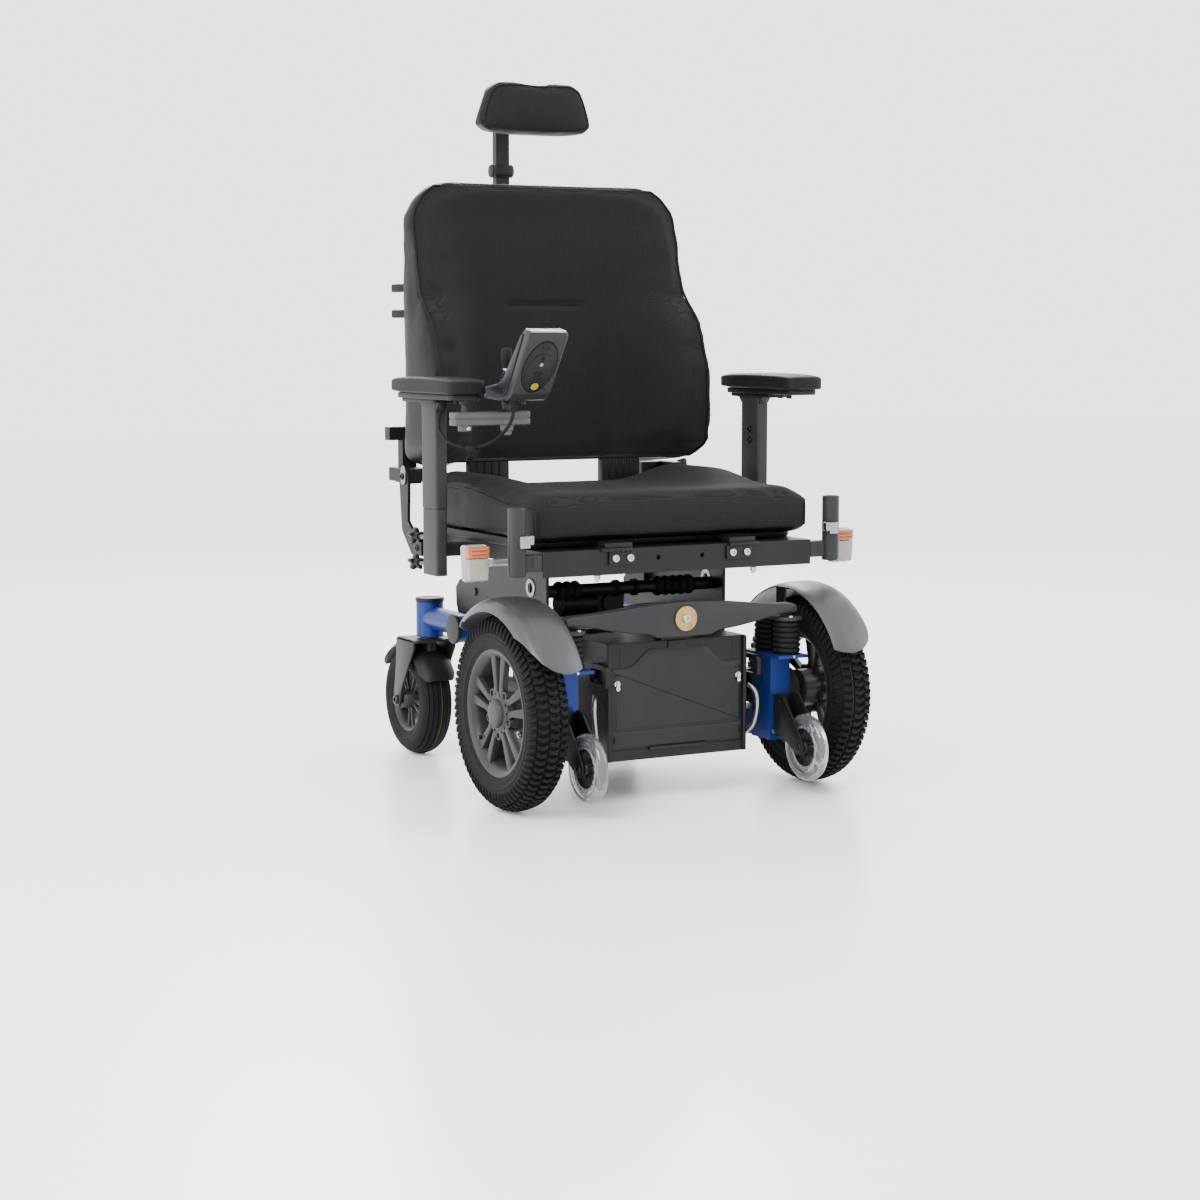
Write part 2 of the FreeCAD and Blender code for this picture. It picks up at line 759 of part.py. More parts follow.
def back_shell():
    """Pressed shell with hinge ears and the headrest clamp."""
    y, z = cell("recline_y"), cell("recline_z")
    plate = block(-200, 200, 561, 567, 640, 1100)
    lower = block(-298, 298, 567, 590, 640, 666)
    stem_y = cell("stem_y")
    clamp = block(-32, 32, 567, stem_y + 20, 960, 1000)
    slot = block(-15.4, 15.4, stem_y - 8.4, stem_y + 8.4, 950, 1010)
    ears = []
    bores = []
    for _, side in SIDES:
        ears.append(block(side * 284, side * 306, y - 14, 520, z - 14, z + 12))
        ears.append(block(side * 240, side * 290, 506, 590, 560, 586))
        ears.append(block(side * 240, side * 270, 567, 590, 560, 666))
        bores.append(rod_x(side * 280, side * 310, y, z, 8))
    handles = []
    for _, side in SIDES:
        handles.append(rod_y(side * 150, 567, 640, 1030, 13))
    return cut(fuse(plate, lower, clamp, *ears, *handles), slot, *bores)


def back_cushion():
    """Deep-sided back cushion: outline from the front, wings lower down, hollow middle."""
    half, low, top = cell("back_x"), cell("back_low"), cell("back_top")
    face = [(half - 40, low), (half, low + 30), (half, top - 110), (half - 18, top - 50),
            (half - 70, top - 4), (half - 130, top)]
    points = face + [(-a, b) for a, b in reversed(face)]
    slab = flat_part("XZ", points, 318, 243)
    side = [(505, low), (561, low + 40), (561, 1095), (530, top), (478, top), (462, top - 20),
            (455, 1085), (424, 937), (384, 900), (340, 840), (322, 780), (319, 660), (345, low)]
    profile = flat_part("YZ", side, -half, half * 2)
    hollow = block(-205, 205, 300, 466, low - 1, top + 1)
    corners = [flat_part("XY", [(s * half + s, 500), (s * half + s, 570), (s * 205, 570), (s * 205, 556)],
                         low - 1, top - low + 2) for _, s in SIDES]
    return cut(common(slab, profile), hollow, *corners)


def headrest_stem():
    """Flat bar in the shell's clamp with an arm forward to the pad."""
    y, z = cell("stem_y"), cell("head_z")
    bar = block(-15, 15, y - 8, y + 8, 900, z + 58)
    arm = block(-15, 15, 594, y - 8, z + 34, z + 58)
    yoke = rod_x(-15, 15, 594, z + 46, 12)
    return cut(fuse(bar, arm, yoke), rod_x(-20, 20, 594, z + 46, 5))


def headrest_pad():
    low = cell("head_z")
    face = [(118, low), (133, low + 12), (126, low + 60), (112, low + 98), (98, low + 108)]
    points = face + [(-a, b) for a, b in reversed(face)]
    return flat_part("XZ", points, 496, 60)


def headrest_bracket():
    z = cell("head_z") + 46
    plate = block(-40, 40, 556, 561, z - 24, z + 24)
    ears = [block(x, x + 5, 561, 604, z - 9, z + 9) for x in (-21, 16)]
    return fuse(plate, rod_x(-21, 21, 594, z, 4.95), *ears)


def back_parts():
    node("back_shell", back_shell())
    node("back_cushion", back_cushion())
    node("headrest_stem", headrest_stem())
    node("headrest_pad", headrest_pad())
    node("headrest_bracket", headrest_bracket())


# ---------------------------------------------------------------- joystick

def swing_arm():
    x, y = cell("swing_x"), cell("swing_y")
    far = cell("stick_x")
    bar = flat_part("XY", rounded(77, 15, 9), 687, 25, ((x + far) / 2 + 10, y, 0))
    bosses = [rod_z(x, y, 681, 687, 11), rod_z(far, y, 676, 687, 9)]
    post = rod_z(far, y, 712, cell("case_low"), 8)
    return cut(fuse(bar, post, *bosses), rod_z(x, y, 670, 720, 6))


def controller_case():
    """Joystick housing: low rounded rear with a display part that leans forward."""
    x, low = cell("stick_x"), cell("case_low")
    side = [(140, low + 16), (128, low + 4), (20, low), (4, low + 4), (-72, low + 112), (-80, low + 128),
            (-70, low + 130), (18, low + 52), (60, low + 36), (118, low + 36), (138, low + 28)]
    body = flat_part("YZ", side, x - 40.5, 81)
    plan = [(x + 40.5, -90), (x + 40.5, 70), (x + 26, 132), (x + 12, 145), (x - 12, 145),
            (x - 26, 132), (x - 40.5, 70), (x - 40.5, -90)]
    rounding = flat_part("XY", plan, low - 5, 150)
    well = rod_z(x, 90, low + 16, low + 40, 15)
    return cut(common(body, rounding), well)


def stick_ring():
    """Gimbal ring inside the housing's well."""
    x, z = cell("stick_x"), cell("case_low") + 28
    ring = cut(rod_z(x, 90, z - 4, z + 4, 12), rod_z(x, 90, z - 6, z + 6, 8))
    return ring


def stick():
    x, z = cell("stick_x"), cell("case_low") + 28
    shaft = rod_z(x, 90, z - 6, z + 56, 3.5)
    boot = turned_part([(0, 0), (0, 11), (7, 9), (14, 5), (14, 0)], x, 90, z + 14, "Z")
    grip = turned_part([(0, 0), (0, 6), (16, 8.5), (30, 10.5), (36, 9), (38, 0)], x, 90, z + 28, "Z")
    return fuse(shaft, boot, grip)


def cord_radii(points):
    """Bend radius at each inner point: 0.45 of the shorter run over the tangent of half the turn."""
    radii = []
    for before, here, after in zip(points, points[1:], points[2:]):
        arriving, leaving = here - before, after - here
        half_turn = arriving.getAngle(leaving) / 2
        radii.append(0.45 * min(arriving.Length, leaving.Length) / math.tan(half_turn))
    return radii


def cord_path(points):
    """Straight runs joined by tangent arcs."""
    edges = []
    start = points[0]
    for here, after, radius in zip(points[1:], points[2:], cord_radii(points)):
        arriving = (here - start).normalize()
        leaving = (after - here).normalize()
        half_turn = arriving.getAngle(leaving) / 2
        back_off = radius * math.tan(half_turn)
        enter, leave = here - arriving * back_off, here + leaving * back_off
        inward = (leaving - arriving).normalize()
        middle = here + inward * (radius / math.cos(half_turn) - radius)
        edges.append(Part.LineSegment(start, enter).toShape())
        edges.append(Part.Arc(enter, middle, leave).toShape())
        start = leave
    edges.append(Part.LineSegment(start, points[-1]).toShape())
    return Part.Wire(edges)


CORD_R = 3.0
CORD_ROUTE = [          # from the clip under the pad, round the swing pivot, up to the housing
    (-354, 196, 725), (-358, 196, 708), (-366, 190, 690), (-370, 176, 672), (-364, 156, 656),
    (-350, 132, 647), (-332, 106, 646), (-314, 82, 655), (-298, 62, 672), (-288, 50, 692),
    (-284, 46, 712), (-284, 45, 732),
]


def joystick_cable():
    shift = AXLE_Y.value
    points = [FreeCAD.Vector(x, y + shift, z) for x, y, z in CORD_ROUTE]
    points[-1].z = DRIVING["case_low"]
    path = cord_path(points)
    ring = Part.Wire([Part.makeCircle(CORD_R, points[0], points[1] - points[0])])
    tube = path.makePipeShell([ring], True, False)
    straight = math.pi * CORD_R ** 2 * path.Length
    print("joystick_cable radii %s" % [round(radius) for radius in cord_radii(points)])
    print("joystick_cable length %.0f, volume over section times length %.4f"
          % (path.Length, tube.Volume / straight))
    made = doc.addObject("Part::Feature", "JoystickCable")
    made.Shape = tube
    return made


def joystick_parts():
    node("swing_arm", swing_arm())
    node("controller_case", controller_case())
    node("stick_gimbal", stick_ring())
    node("joystick_lever", stick())
    node("joystick_cable", joystick_cable())


def build():
    chassis()
    crossbar_parts()
    drive_arms()
    wheels()
    casters()
    cover_parts()
    seat_parts()
    armrests()
    back_parts()
    joystick_parts()
    doc.recompute()
    for thing in doc.Objects:
        if "Invalid" in thing.State or "Error" in thing.State:
            raise RuntimeError("%s failed: %s" % (thing.Label, thing.State))
    for label, thing in nodes.items():
        if thing.Shape.isNull() or not thing.Shape.isValid():
            raise RuntimeError("%s has no valid shape" % label)
    whole = FreeCAD.BoundBox()
    os.makedirs("parts", exist_ok=True)
    for label, thing in nodes.items():
        whole.add(thing.Shape.BoundBox)
        thing.Shape.exportStep("parts/%s.step" % label)
    print("%d nodes, y from %.2f to %.2f, height %.2f" % (len(nodes), whole.YMin, whole.YMax, whole.ZMax))


build()
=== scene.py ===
import math
import random

import bmesh
import bpy
from mathutils import Matrix, Vector, noise


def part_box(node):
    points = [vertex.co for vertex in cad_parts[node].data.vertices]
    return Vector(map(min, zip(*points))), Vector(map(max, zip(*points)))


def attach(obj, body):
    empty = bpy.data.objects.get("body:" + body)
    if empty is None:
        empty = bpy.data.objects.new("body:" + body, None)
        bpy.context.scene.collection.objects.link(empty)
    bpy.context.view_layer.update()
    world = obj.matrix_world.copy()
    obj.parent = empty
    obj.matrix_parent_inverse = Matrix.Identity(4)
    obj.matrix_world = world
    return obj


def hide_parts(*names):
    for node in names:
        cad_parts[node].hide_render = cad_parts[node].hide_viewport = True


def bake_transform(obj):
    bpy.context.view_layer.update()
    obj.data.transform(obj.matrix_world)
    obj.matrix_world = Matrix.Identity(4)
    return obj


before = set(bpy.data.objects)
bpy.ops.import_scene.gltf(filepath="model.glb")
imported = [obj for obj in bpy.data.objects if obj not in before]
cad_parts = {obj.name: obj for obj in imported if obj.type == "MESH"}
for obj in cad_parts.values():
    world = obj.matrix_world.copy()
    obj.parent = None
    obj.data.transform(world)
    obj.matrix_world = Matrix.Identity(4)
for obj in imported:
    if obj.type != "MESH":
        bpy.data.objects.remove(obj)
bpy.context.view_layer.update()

SIDES = (("right", -1), ("left", 1))       # the user's own right and left
random.seed(7)


# ------------------------------------------------------------ places read from the frame

def middle(node):
    low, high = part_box(node)
    return (low + high) / 2


AXLE = middle("left_drive_tyre")
AXLE_Y = AXLE.y
WHEEL_R = AXLE.z
TYRE_X = AXLE.x


def at(x, y, z):
    """A point whose Y is given from the drive axle."""
    return Vector((x, y + AXLE_Y, z))


# ------------------------------------------------------------ shader maths

class Field:
    """A socket whose value changes over a surface, with the usual sums on it."""

    def __init__(self, finish, socket):
        self.finish = finish
        self.socket = socket

    def sum(self, operation, other=None, third=None):
        parts = [self] + [part for part in (other, third) if part is not None]
        made = self.finish.add("ShaderNodeMath", {"operation": operation}, dict(enumerate(parts)))
        return Field(self.finish, made.outputs[0])

    def __add__(self, other):
        return self.sum("ADD", other)

    def __radd__(self, other):
        return self.sum("ADD", other)

    def __sub__(self, other):
        return self.sum("SUBTRACT", other)

    def __rsub__(self, other):
        return (self * -1) + other

    def __mul__(self, other):
        return self.sum("MULTIPLY", other)

    def __rmul__(self, other):
        return self.sum("MULTIPLY", other)

    def __truediv__(self, other):
        return self.sum("DIVIDE", other)

    def __abs__(self):
        return self.sum("ABSOLUTE")

    def sine(self):
        return self.sum("SINE")

    def power(self, exponent):
        return self.sum("POWER", exponent)

    def above(self, level):
        return self.sum("GREATER_THAN", level)

    def below(self, level):
        return self.sum("LESS_THAN", level)

    def step(self, low, high):
        """0 below low, 1 above high, smooth between."""
        settings = {"interpolation_type": "SMOOTHSTEP"}
        made = self.finish.add("ShaderNodeMapRange", settings, {0: self, 1: low, 2: high, 3: 0.0, 4: 1.0})
        return Field(self.finish, made.outputs[0])


class Finish:
    """One material: a Principled shader with fields linked to it."""

    def __init__(self, name, **constants):
        self.material = bpy.data.materials.new(name)
        self.material.use_nodes = True
        self.tree = self.material.node_tree
        self.shader = self.tree.nodes["Principled BSDF"]
        for socket, value in constants.items():
            self.shader.inputs[socket.replace("_", " ")].default_value = value

    def add(self, kind, settings=None, sockets=None):
        made = self.tree.nodes.new(kind)
        for key, value in (settings or {}).items():
            if key == "stops":
                self.set_stops(made.color_ramp, value)
            else:
                setattr(made, key, value)
        for key, value in (sockets or {}).items():
            self.plug(made.inputs[key], value)
        return made

    def set_stops(self, ramp, stops):
        while len(ramp.elements) < len(stops):
            ramp.elements.new(0.5)
        for element, (place, colour) in zip(ramp.elements, stops):
            element.position = place
            element.color = colour

    def plug(self, socket, value):
        if isinstance(value, Field):
            self.tree.links.new(value.socket, socket)
        elif isinstance(value, bpy.types.NodeSocket):
            self.tree.links.new(value, socket)
        else:
            socket.default_value = value

    def feed(self, **inputs):
        for socket, value in inputs.items():
            self.plug(self.shader.inputs[socket.replace("_", " ")], value)
        return self

    def place(self):
        return self.add("ShaderNodeTexCoord").outputs["Object"]

    def axes(self, vector=None):
        split = self.add("ShaderNodeSeparateXYZ", None, {0: vector or self.place()})
        return [Field(self, split.outputs[index]) for index in range(3)]

    def moved(self, centre, scale=(1, 1, 1)):
        settings = {"vector_type": "POINT"}
        back = [-part * size for part, size in zip(centre, scale)]
        return self.add("ShaderNodeMapping", settings, {0: self.place(), 1: back, 3: scale}).outputs[0]

    def noise(self, scale, detail=3.0, rough=0.5, vector=None):
        sockets = {"Vector": vector or self.place(), "Scale": scale, "Detail": detail, "Roughness": rough}
        return Field(self, self.add("ShaderNodeTexNoise", None, sockets).outputs[0])

    def cells(self, scale, feature="F1", vector=None):
        sockets = {"Vector": vector or self.place(), "Scale": scale}
        return Field(self, self.add("ShaderNodeTexVoronoi", {"feature": feature}, sockets).outputs[0])

    def mix(self, factor, first, second):
        made = self.add("ShaderNodeMix", {"data_type": "RGBA"}, {0: factor, 6: first, 7: second})
        return made.outputs[2]

    def bump(self, height, strength, distance, below=None):
        sockets = {"Height": height, "Strength": strength, "Distance": distance}
        if below is not None:
            sockets["Normal"] = below
        return self.add("ShaderNodeBump", None, sockets).outputs[0]


def rgb(red, green, blue):
    return (red, green, blue, 1.0)


def shade(colour, factor):
    return rgb(*[part * factor for part in colour[:3]])


def powder_coat(name, colour, rough=0.42, grain=900.0, depth=0.00012, metal=0.0, coat=0.15):
    """Sprayed coat: fine orange peel, faint dust and slightly worn tone."""
    made = Finish(name, Metallic=metal, Coat_Weight=coat * 0.25, Coat_Roughness=0.35, Specular_IOR_Level=0.16)
    peel = made.noise(grain, 2.0)
    dust = made.noise(6.0, 4.0)
    tone = made.mix(dust.step(0.35, 0.75), shade(colour, 0.86), shade(colour, 1.12))
    return made.feed(Base_Color=tone, Roughness=peel * 0.10 + dust * 0.10 + (rough - 0.10),
                     Normal=made.bump(peel, 0.35, depth))


def moulded(name, colour, rough=0.5, grain=1400.0, depth=0.00008, coat=0.0):
    """Moulded plastic with an etched grain."""
    made = Finish(name, Coat_Weight=coat * 0.25, Coat_Roughness=0.2, Specular_IOR_Level=0.16)
    grainy = made.cells(grain)
    scuff = made.noise(14.0, 5.0, 0.6)
    tone = made.mix(scuff.step(0.3, 0.8), shade(colour, 0.88), shade(colour, 1.15))
    return made.feed(Base_Color=tone, Roughness=scuff * 0.14 + (rough - 0.07),
                     Normal=made.bump(grainy, 0.3, depth))


def rubber(name, colour, rough=0.68):
    made = Finish(name, Specular_IOR_Level=0.10)
    dust = made.noise(22.0, 6.0, 0.65)
    fine = made.noise(700.0, 2.0)
    tone = made.mix(dust.step(0.42, 0.72), colour, shade(colour, 1.9))
    return made.feed(Base_Color=tone, Roughness=dust * 0.15 + (rough - 0.07),
                     Normal=made.bump(fine, 0.35, 0.00015))


def spacer_mesh(name, colour, pitch=0.0042):
    """Warp-knitted spacer fabric: staggered diamond holes, painted dark as the shade inside them, with a pale
    yarn on top.
    """
    made = Finish(name, Sheen_Weight=0.02, Sheen_Roughness=0.45, Specular_IOR_Level=0.08)
    x, y, z = made.axes()
    across = x * (math.tau / (pitch * 1.25))
    along = (z - y) * (math.tau / pitch)
    weave = (across + along).sine() * (across - along).sine()
    holes = weave.step(0.05, 0.75)
    yarn = made.noise(1500.0, 2.0)
    wear = made.noise(5.0, 3.0)
    thread = made.mix(yarn.step(0.35, 0.7), colour, shade(colour, 2.1))
    # The holes are painted dark, at 0.22 of the yarn colour, as the shade inside them.
    tone = made.mix(holes, thread, shade(colour, 0.22))
    height = 1 - holes + yarn * 0.3
    return made.feed(Base_Color=tone, Roughness=wear * 0.12 + 0.72,
                     Normal=made.bump(height, 0.6, 0.0007))


def leatherette(name, colour, rough=0.46):
    made = Finish(name, Coat_Weight=0.01, Coat_Roughness=0.4, Specular_IOR_Level=0.10)
    pebbles = made.cells(620.0, "DISTANCE_TO_EDGE")
    creases = made.noise(38.0, 5.0, 0.6)
    # Tone follows the crease relief: darker in its low parts as painted shade, lighter on its raised parts as
    # painted light.
    tone = made.mix(creases.step(0.3, 0.75), shade(colour, 0.85), shade(colour, 1.25))
    grain = made.bump(pebbles.step(0.0, 0.25), 0.35, 0.0003)
    return made.feed(Base_Color=tone, Roughness=creases * 0.16 + (rough - 0.08),
                     Normal=made.bump(creases, 0.12, 0.002, grain))


def bright_metal(name, colour, rough=0.18, grain=60.0):
    made = Finish(name, Metallic=1.0)
    smear = made.noise(grain, 4.0)
    tone = made.mix(smear, shade(colour, 0.85), colour)
    return made.feed(Base_Color=tone, Roughness=smear * 0.16 + (rough - 0.06),
                     Normal=made.bump(smear, 0.05, 0.0002))


def turned_brass(name, centre):
    """Brass face with lathe rings about the crossbar pivot."""
    made = Finish(name, Metallic=1.0)
    x, y, z = made.axes(made.moved(centre))
    radius = (x * x + z * z).power(0.5)
    rings = (radius * 9000.0).sine() * 0.5 + 0.5
    tarnish = made.noise(90.0, 4.0)
    tone = made.mix(tarnish.step(0.3, 0.8), rgb(0.36, 0.235, 0.095), rgb(0.25, 0.16, 0.07))
    return made.feed(Base_Color=tone, Roughness=rings * 0.10 + 0.26,
                     Normal=made.bump(rings, 0.25, 0.0001))


def clear_urethane(name):
    made = Finish(name, Transmission_Weight=0.85, IOR=1.46, Coat_Weight=0.4)
    haze = made.noise(30.0, 5.0, 0.6)
    tone = made.mix(haze.step(0.4, 0.8), rgb(0.34, 0.36, 0.38), rgb(0.25, 0.27, 0.29))
    return made.feed(Base_Color=tone, Roughness=haze * 0.10 + 0.03,
                     Normal=made.bump(haze, 0.05, 0.0003))


def lens(name, colour, weight=0.75):
    """Ribbed moulded lens, its colour painted darker in the rib valleys as shade."""
    made = Finish(name, Transmission_Weight=weight, IOR=1.49, Coat_Weight=0.5)
    x, y, z = made.axes()
    ribs = (x * 1250.0).sine() * (z * 900.0).sine()
    # Colour follows the rib relief: darker in the valleys between ribs as painted shade.
    tone = made.mix(ribs.step(-0.6, 0.8), shade(colour, 0.72), colour)
    return made.feed(Base_Color=tone, Roughness=ribs.step(-1.0, 1.0) * 0.10 + 0.10,
                     Normal=made.bump(ribs, 0.5, 0.0006))


BLACK_COAT = powder_coat("black_coat", rgb(0.0062, 0.0062, 0.0066), 0.42)
GREY_COAT = powder_coat("anthracite_coat", rgb(0.020, 0.0206, 0.0212), 0.46, 700.0, 0.0002, 0.25)
BLUE_COAT = powder_coat("royal_blue_coat", rgb(0.0050, 0.0185, 0.125), 0.36, 800.0, 0.0001, 0.2, 0.35)
SILVER = powder_coat("silver_lacquer", rgb(0.060, 0.061, 0.064), 0.36, 1600.0, 0.00004, 0.55, 0.4)
ARM_GREY = powder_coat("light_grey_coat", rgb(0.060, 0.061, 0.062), 0.42, 900.0, 0.0001, 0.3)
BLACK_PLASTIC = moulded("black_plastic", rgb(0.0065, 0.0065, 0.0070), 0.45)
CASE_PLASTIC = moulded("controller_plastic", rgb(0.014, 0.0145, 0.015), 0.38, 1500.0, 0.00006, 0.2)
BATTERY_PLASTIC = moulded("battery_plastic", rgb(0.015, 0.015, 0.017), 0.55)
RIM_PLASTIC = moulded("rim_plastic", rgb(0.021, 0.0215, 0.0225), 0.42, 1000.0, 0.00008, 0.15)
HUB_PLASTIC = moulded("hub_plastic", rgb(0.011, 0.0112, 0.012), 0.38)
MOTOR_COAT = powder_coat("motor_coat", rgb(0.011, 0.011, 0.012), 0.40)
RUBBER = rubber("soft_rubber", rgb(0.0048, 0.0048, 0.0049), 0.6)
TREAD_RUBBER = rubber("tread_rubber", rgb(0.0040, 0.0040, 0.0041))
MESH = spacer_mesh("seat_spacer_mesh", rgb(0.0068, 0.0068, 0.0076))
LEATHER = leatherette("side_leatherette", rgb(0.0030, 0.0031, 0.0036))
PAD_SKIN = leatherette("arm_pad_skin", rgb(0.0052, 0.0052, 0.0057), 0.5)
CHROME = bright_metal("chrome", rgb(0.42, 0.42, 0.43))
STEEL = bright_metal("zinc_steel", rgb(0.26, 0.26, 0.27), 0.32)
BRASS = turned_brass("turned_brass", middle("crossbar_washer"))
URETHANE = clear_urethane("clear_urethane")
STRIPE = moulded("tread_stripe", rgb(0.045, 0.075, 0.008), 0.6)
BLACK_STEEL = bright_metal("blackened_steel", rgb(0.03, 0.03, 0.032), 0.35)
PALE_CORE = moulded("pale_core", rgb(0.16, 0.165, 0.17), 0.35)
COVER_PLASTIC = moulded("cover_plastic", rgb(0.0100, 0.0106, 0.0112), 0.44, 1200.0, 0.00006, 0.1)
# Near-black sheets painted as the shadow in slots, grooves and holes.
SHADOW = moulded("painted_slot_shadow", rgb(0.003, 0.003, 0.003), 0.8)
LEVER_STEEL = bright_metal("lever_steel", rgb(0.30, 0.29, 0.27), 0.34)
LAMP_SILVER = powder_coat("lamp_silver_shell", rgb(0.30, 0.305, 0.31), 0.26, 1600.0, 0.00003, 0.6, 0.6)
LAMP_BOARD = moulded("lamp_board", rgb(0.42, 0.36, 0.24), 0.4)
BRASS_DOT = moulded("lamp_dots", rgb(0.05, 0.045, 0.02), 0.4)
SOCKET_GREY = powder_coat("socket_grey", rgb(0.020, 0.0205, 0.021), 0.48, 800.0, 0.00012, 0.1)
AMBER = lens("amber_lens", rgb(0.42, 0.075, 0.002), 0.10)
CLEAR = lens("clear_lens", rgb(0.34, 0.33, 0.28), 0.4)

NODE_FINISH = {
    "battery_box": BLACK_COAT, "module_side_plates": BLACK_COAT, "module_cross_tube": BLACK_COAT,
    "seat_frame": BLACK_COAT, "tie_down_loops": BLACK_COAT, "headrest_stem": BLACK_COAT,
    "headrest_bracket": BLACK_COAT, "right_anti_tip_fork": BLACK_COAT, "left_anti_tip_fork": BLACK_COAT,
    "batteries": BATTERY_PLASTIC, "rear_beam": BLUE_COAT, "right_drive_arm": BLUE_COAT,
    "left_drive_arm": BLUE_COAT, "beam_caps": BLACK_PLASTIC, "battery_cover": BLACK_PLASTIC,
    "back_shell": BLACK_PLASTIC, "right_clamp_knob": BLACK_PLASTIC, "left_clamp_knob": BLACK_PLASTIC,
    "joystick_lever": RUBBER, "controller_case": CASE_PLASTIC, "tilt_actuator": BLACK_PLASTIC,
    "stick_gimbal": STEEL, "crossbar": GREY_COAT, "right_arm_post": GREY_COAT, "left_arm_post": GREY_COAT,
    "legrest_receivers": GREY_COAT, "swing_arm": ARM_GREY, "right_caster_fork": GREY_COAT,
    "left_caster_fork": GREY_COAT, "crossbar_washer": BRASS, "right_gear_motor": MOTOR_COAT,
    "left_gear_motor": MOTOR_COAT, "right_fender": SILVER, "left_fender": SILVER, "right_bellows": RUBBER,
    "left_bellows": RUBBER, "joystick_cable": RUBBER, "right_drive_tyre": TREAD_RUBBER,
    "left_drive_tyre": TREAD_RUBBER, "right_caster_tyre": TREAD_RUBBER, "left_caster_tyre": TREAD_RUBBER,
    "right_drive_rim": RIM_PLASTIC, "left_drive_rim": RIM_PLASTIC, "right_caster_rim": RIM_PLASTIC,
    "left_caster_rim": RIM_PLASTIC, "right_anti_tip_tyre": URETHANE, "left_anti_tip_tyre": URETHANE,
    "right_anti_tip_hub": HUB_PLASTIC, "left_anti_tip_hub": HUB_PLASTIC, "right_cover_latch": CHROME,
    "left_cover_latch": CHROME, "rail_bolts": CHROME, "seat_cushion": MESH, "back_cushion": MESH,
    "headrest_pad": MESH, "lamp_housings": STEEL, "lamp_lenses": CLEAR, "right_arm_pad": PAD_SKIN,
    "left_arm_pad": PAD_SKIN,
}


def dress_nodes():
    for name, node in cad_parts.items():
        node.data.materials.clear()
        node.data.materials.append(NODE_FINISH[name].material)


# ------------------------------------------------------------ mesh helpers

def piece(name, mesh, finish, body, smooth=True, replaces=()):
    data = bpy.data.meshes.new(name)
    mesh.to_mesh(data)
    mesh.free()
    made = bpy.data.objects.new(name, data)
    bpy.context.scene.collection.objects.link(made)
    finishes = finish if isinstance(finish, (list, tuple)) else [finish]
    for one in finishes:
        data.materials.append(one.material)
    if smooth:
        for face in data.polygons:
            face.use_smooth = True
        data.set_sharp_from_angle(angle=math.radians(38))
    if body:
        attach(made, body)
    if replaces:
        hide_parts(*replaces)
    return made


def bevel_edges(mesh, edges, width, segments=2):
    if width > 0 and edges:
        bmesh.ops.bevel(mesh, geom=edges, offset=width, offset_type="OFFSET", segments=segments,
                        profile=0.5, affect="EDGES", clamp_overlap=True, material=-1)


def sharp_edges(mesh, faces, angle=0.6):
    edges = {edge for face in faces for edge in face.edges}
    return [edge for edge in edges if len(edge.link_faces) == 2 and edge.calc_face_angle(0) > angle]


def add_block(mesh, low, high, bevel=0.0, segments=2):
    """A box between two corners with softened edges."""
    low, high = Vector(low), Vector(high)
    place = Matrix.Translation((low + high) / 2) @ Matrix.Diagonal((high - low).to_4d())
    made = bmesh.ops.create_cube(mesh, size=1.0, matrix=place)
    edges = list({edge for vert in made["verts"] for edge in vert.link_edges})
    bevel_edges(mesh, edges, bevel, segments)
    return made["verts"]


TURNS = {"X": Matrix.Rotation(math.pi / 2, 4, "Y"), "Y": Matrix.Rotation(-math.pi / 2, 4, "X"),
         "Z": Matrix.Identity(4)}


def add_rod(mesh, centre, radius, length, axis="Z", steps=32, bevel=0.0, top=None):
    """A round bar about a centre, with softened ends."""
    place = Matrix.Translation(Vector(centre)) @ TURNS[axis]
    made = bmesh.ops.create_cone(mesh, cap_ends=True, segments=steps, radius1=radius,
                                 radius2=radius if top is None else top, depth=length, matrix=place)
    faces = {face for vert in made["verts"] for face in vert.link_faces if len(face.verts) > 4}
    bevel_edges(mesh, list({edge for face in faces for edge in face.edges}), bevel)
    return made["verts"]


def add_lathe(mesh, profile, centre, axis="X", steps=64, closed=True):
    """Spin (along, radius) points about an axis through the centre."""
    turn = {"X": Matrix.Identity(4), "Z": Matrix.Rotation(-math.pi / 2, 4, "Y"),
            "Y": Matrix.Rotation(math.pi / 2, 4, "Z")}[axis]
    verts = [mesh.verts.new((along, 0, radius)) for along, radius in profile]
    edges = [mesh.edges.new(pair) for pair in zip(verts, verts[1:])]
    if closed:
        edges.append(mesh.edges.new((verts[-1], verts[0])))
    made = bmesh.ops.spin(mesh, geom=verts + edges, cent=(0, 0, 0), axis=(1, 0, 0), angle=math.tau,
                          steps=steps, use_merge=True, use_duplicate=False)
    faces = {face for vert in verts for face in vert.link_faces}
    grown = set(faces)
    while faces:
        faces = {near for face in faces for edge in face.edges for near in edge.link_faces} - grown
        grown |= faces
    all_verts = list({vert for face in grown for vert in face.verts})
    bmesh.ops.remove_doubles(mesh, verts=all_verts, dist=1e-6)
    grown = [face for face in grown if face.is_valid]
    all_verts = list({vert for face in grown for vert in face.verts})
    bmesh.ops.recalc_face_normals(mesh, faces=grown)
    bmesh.ops.transform(mesh, matrix=Matrix.Translation(Vector(centre)) @ turn, verts=all_verts)
    return all_verts


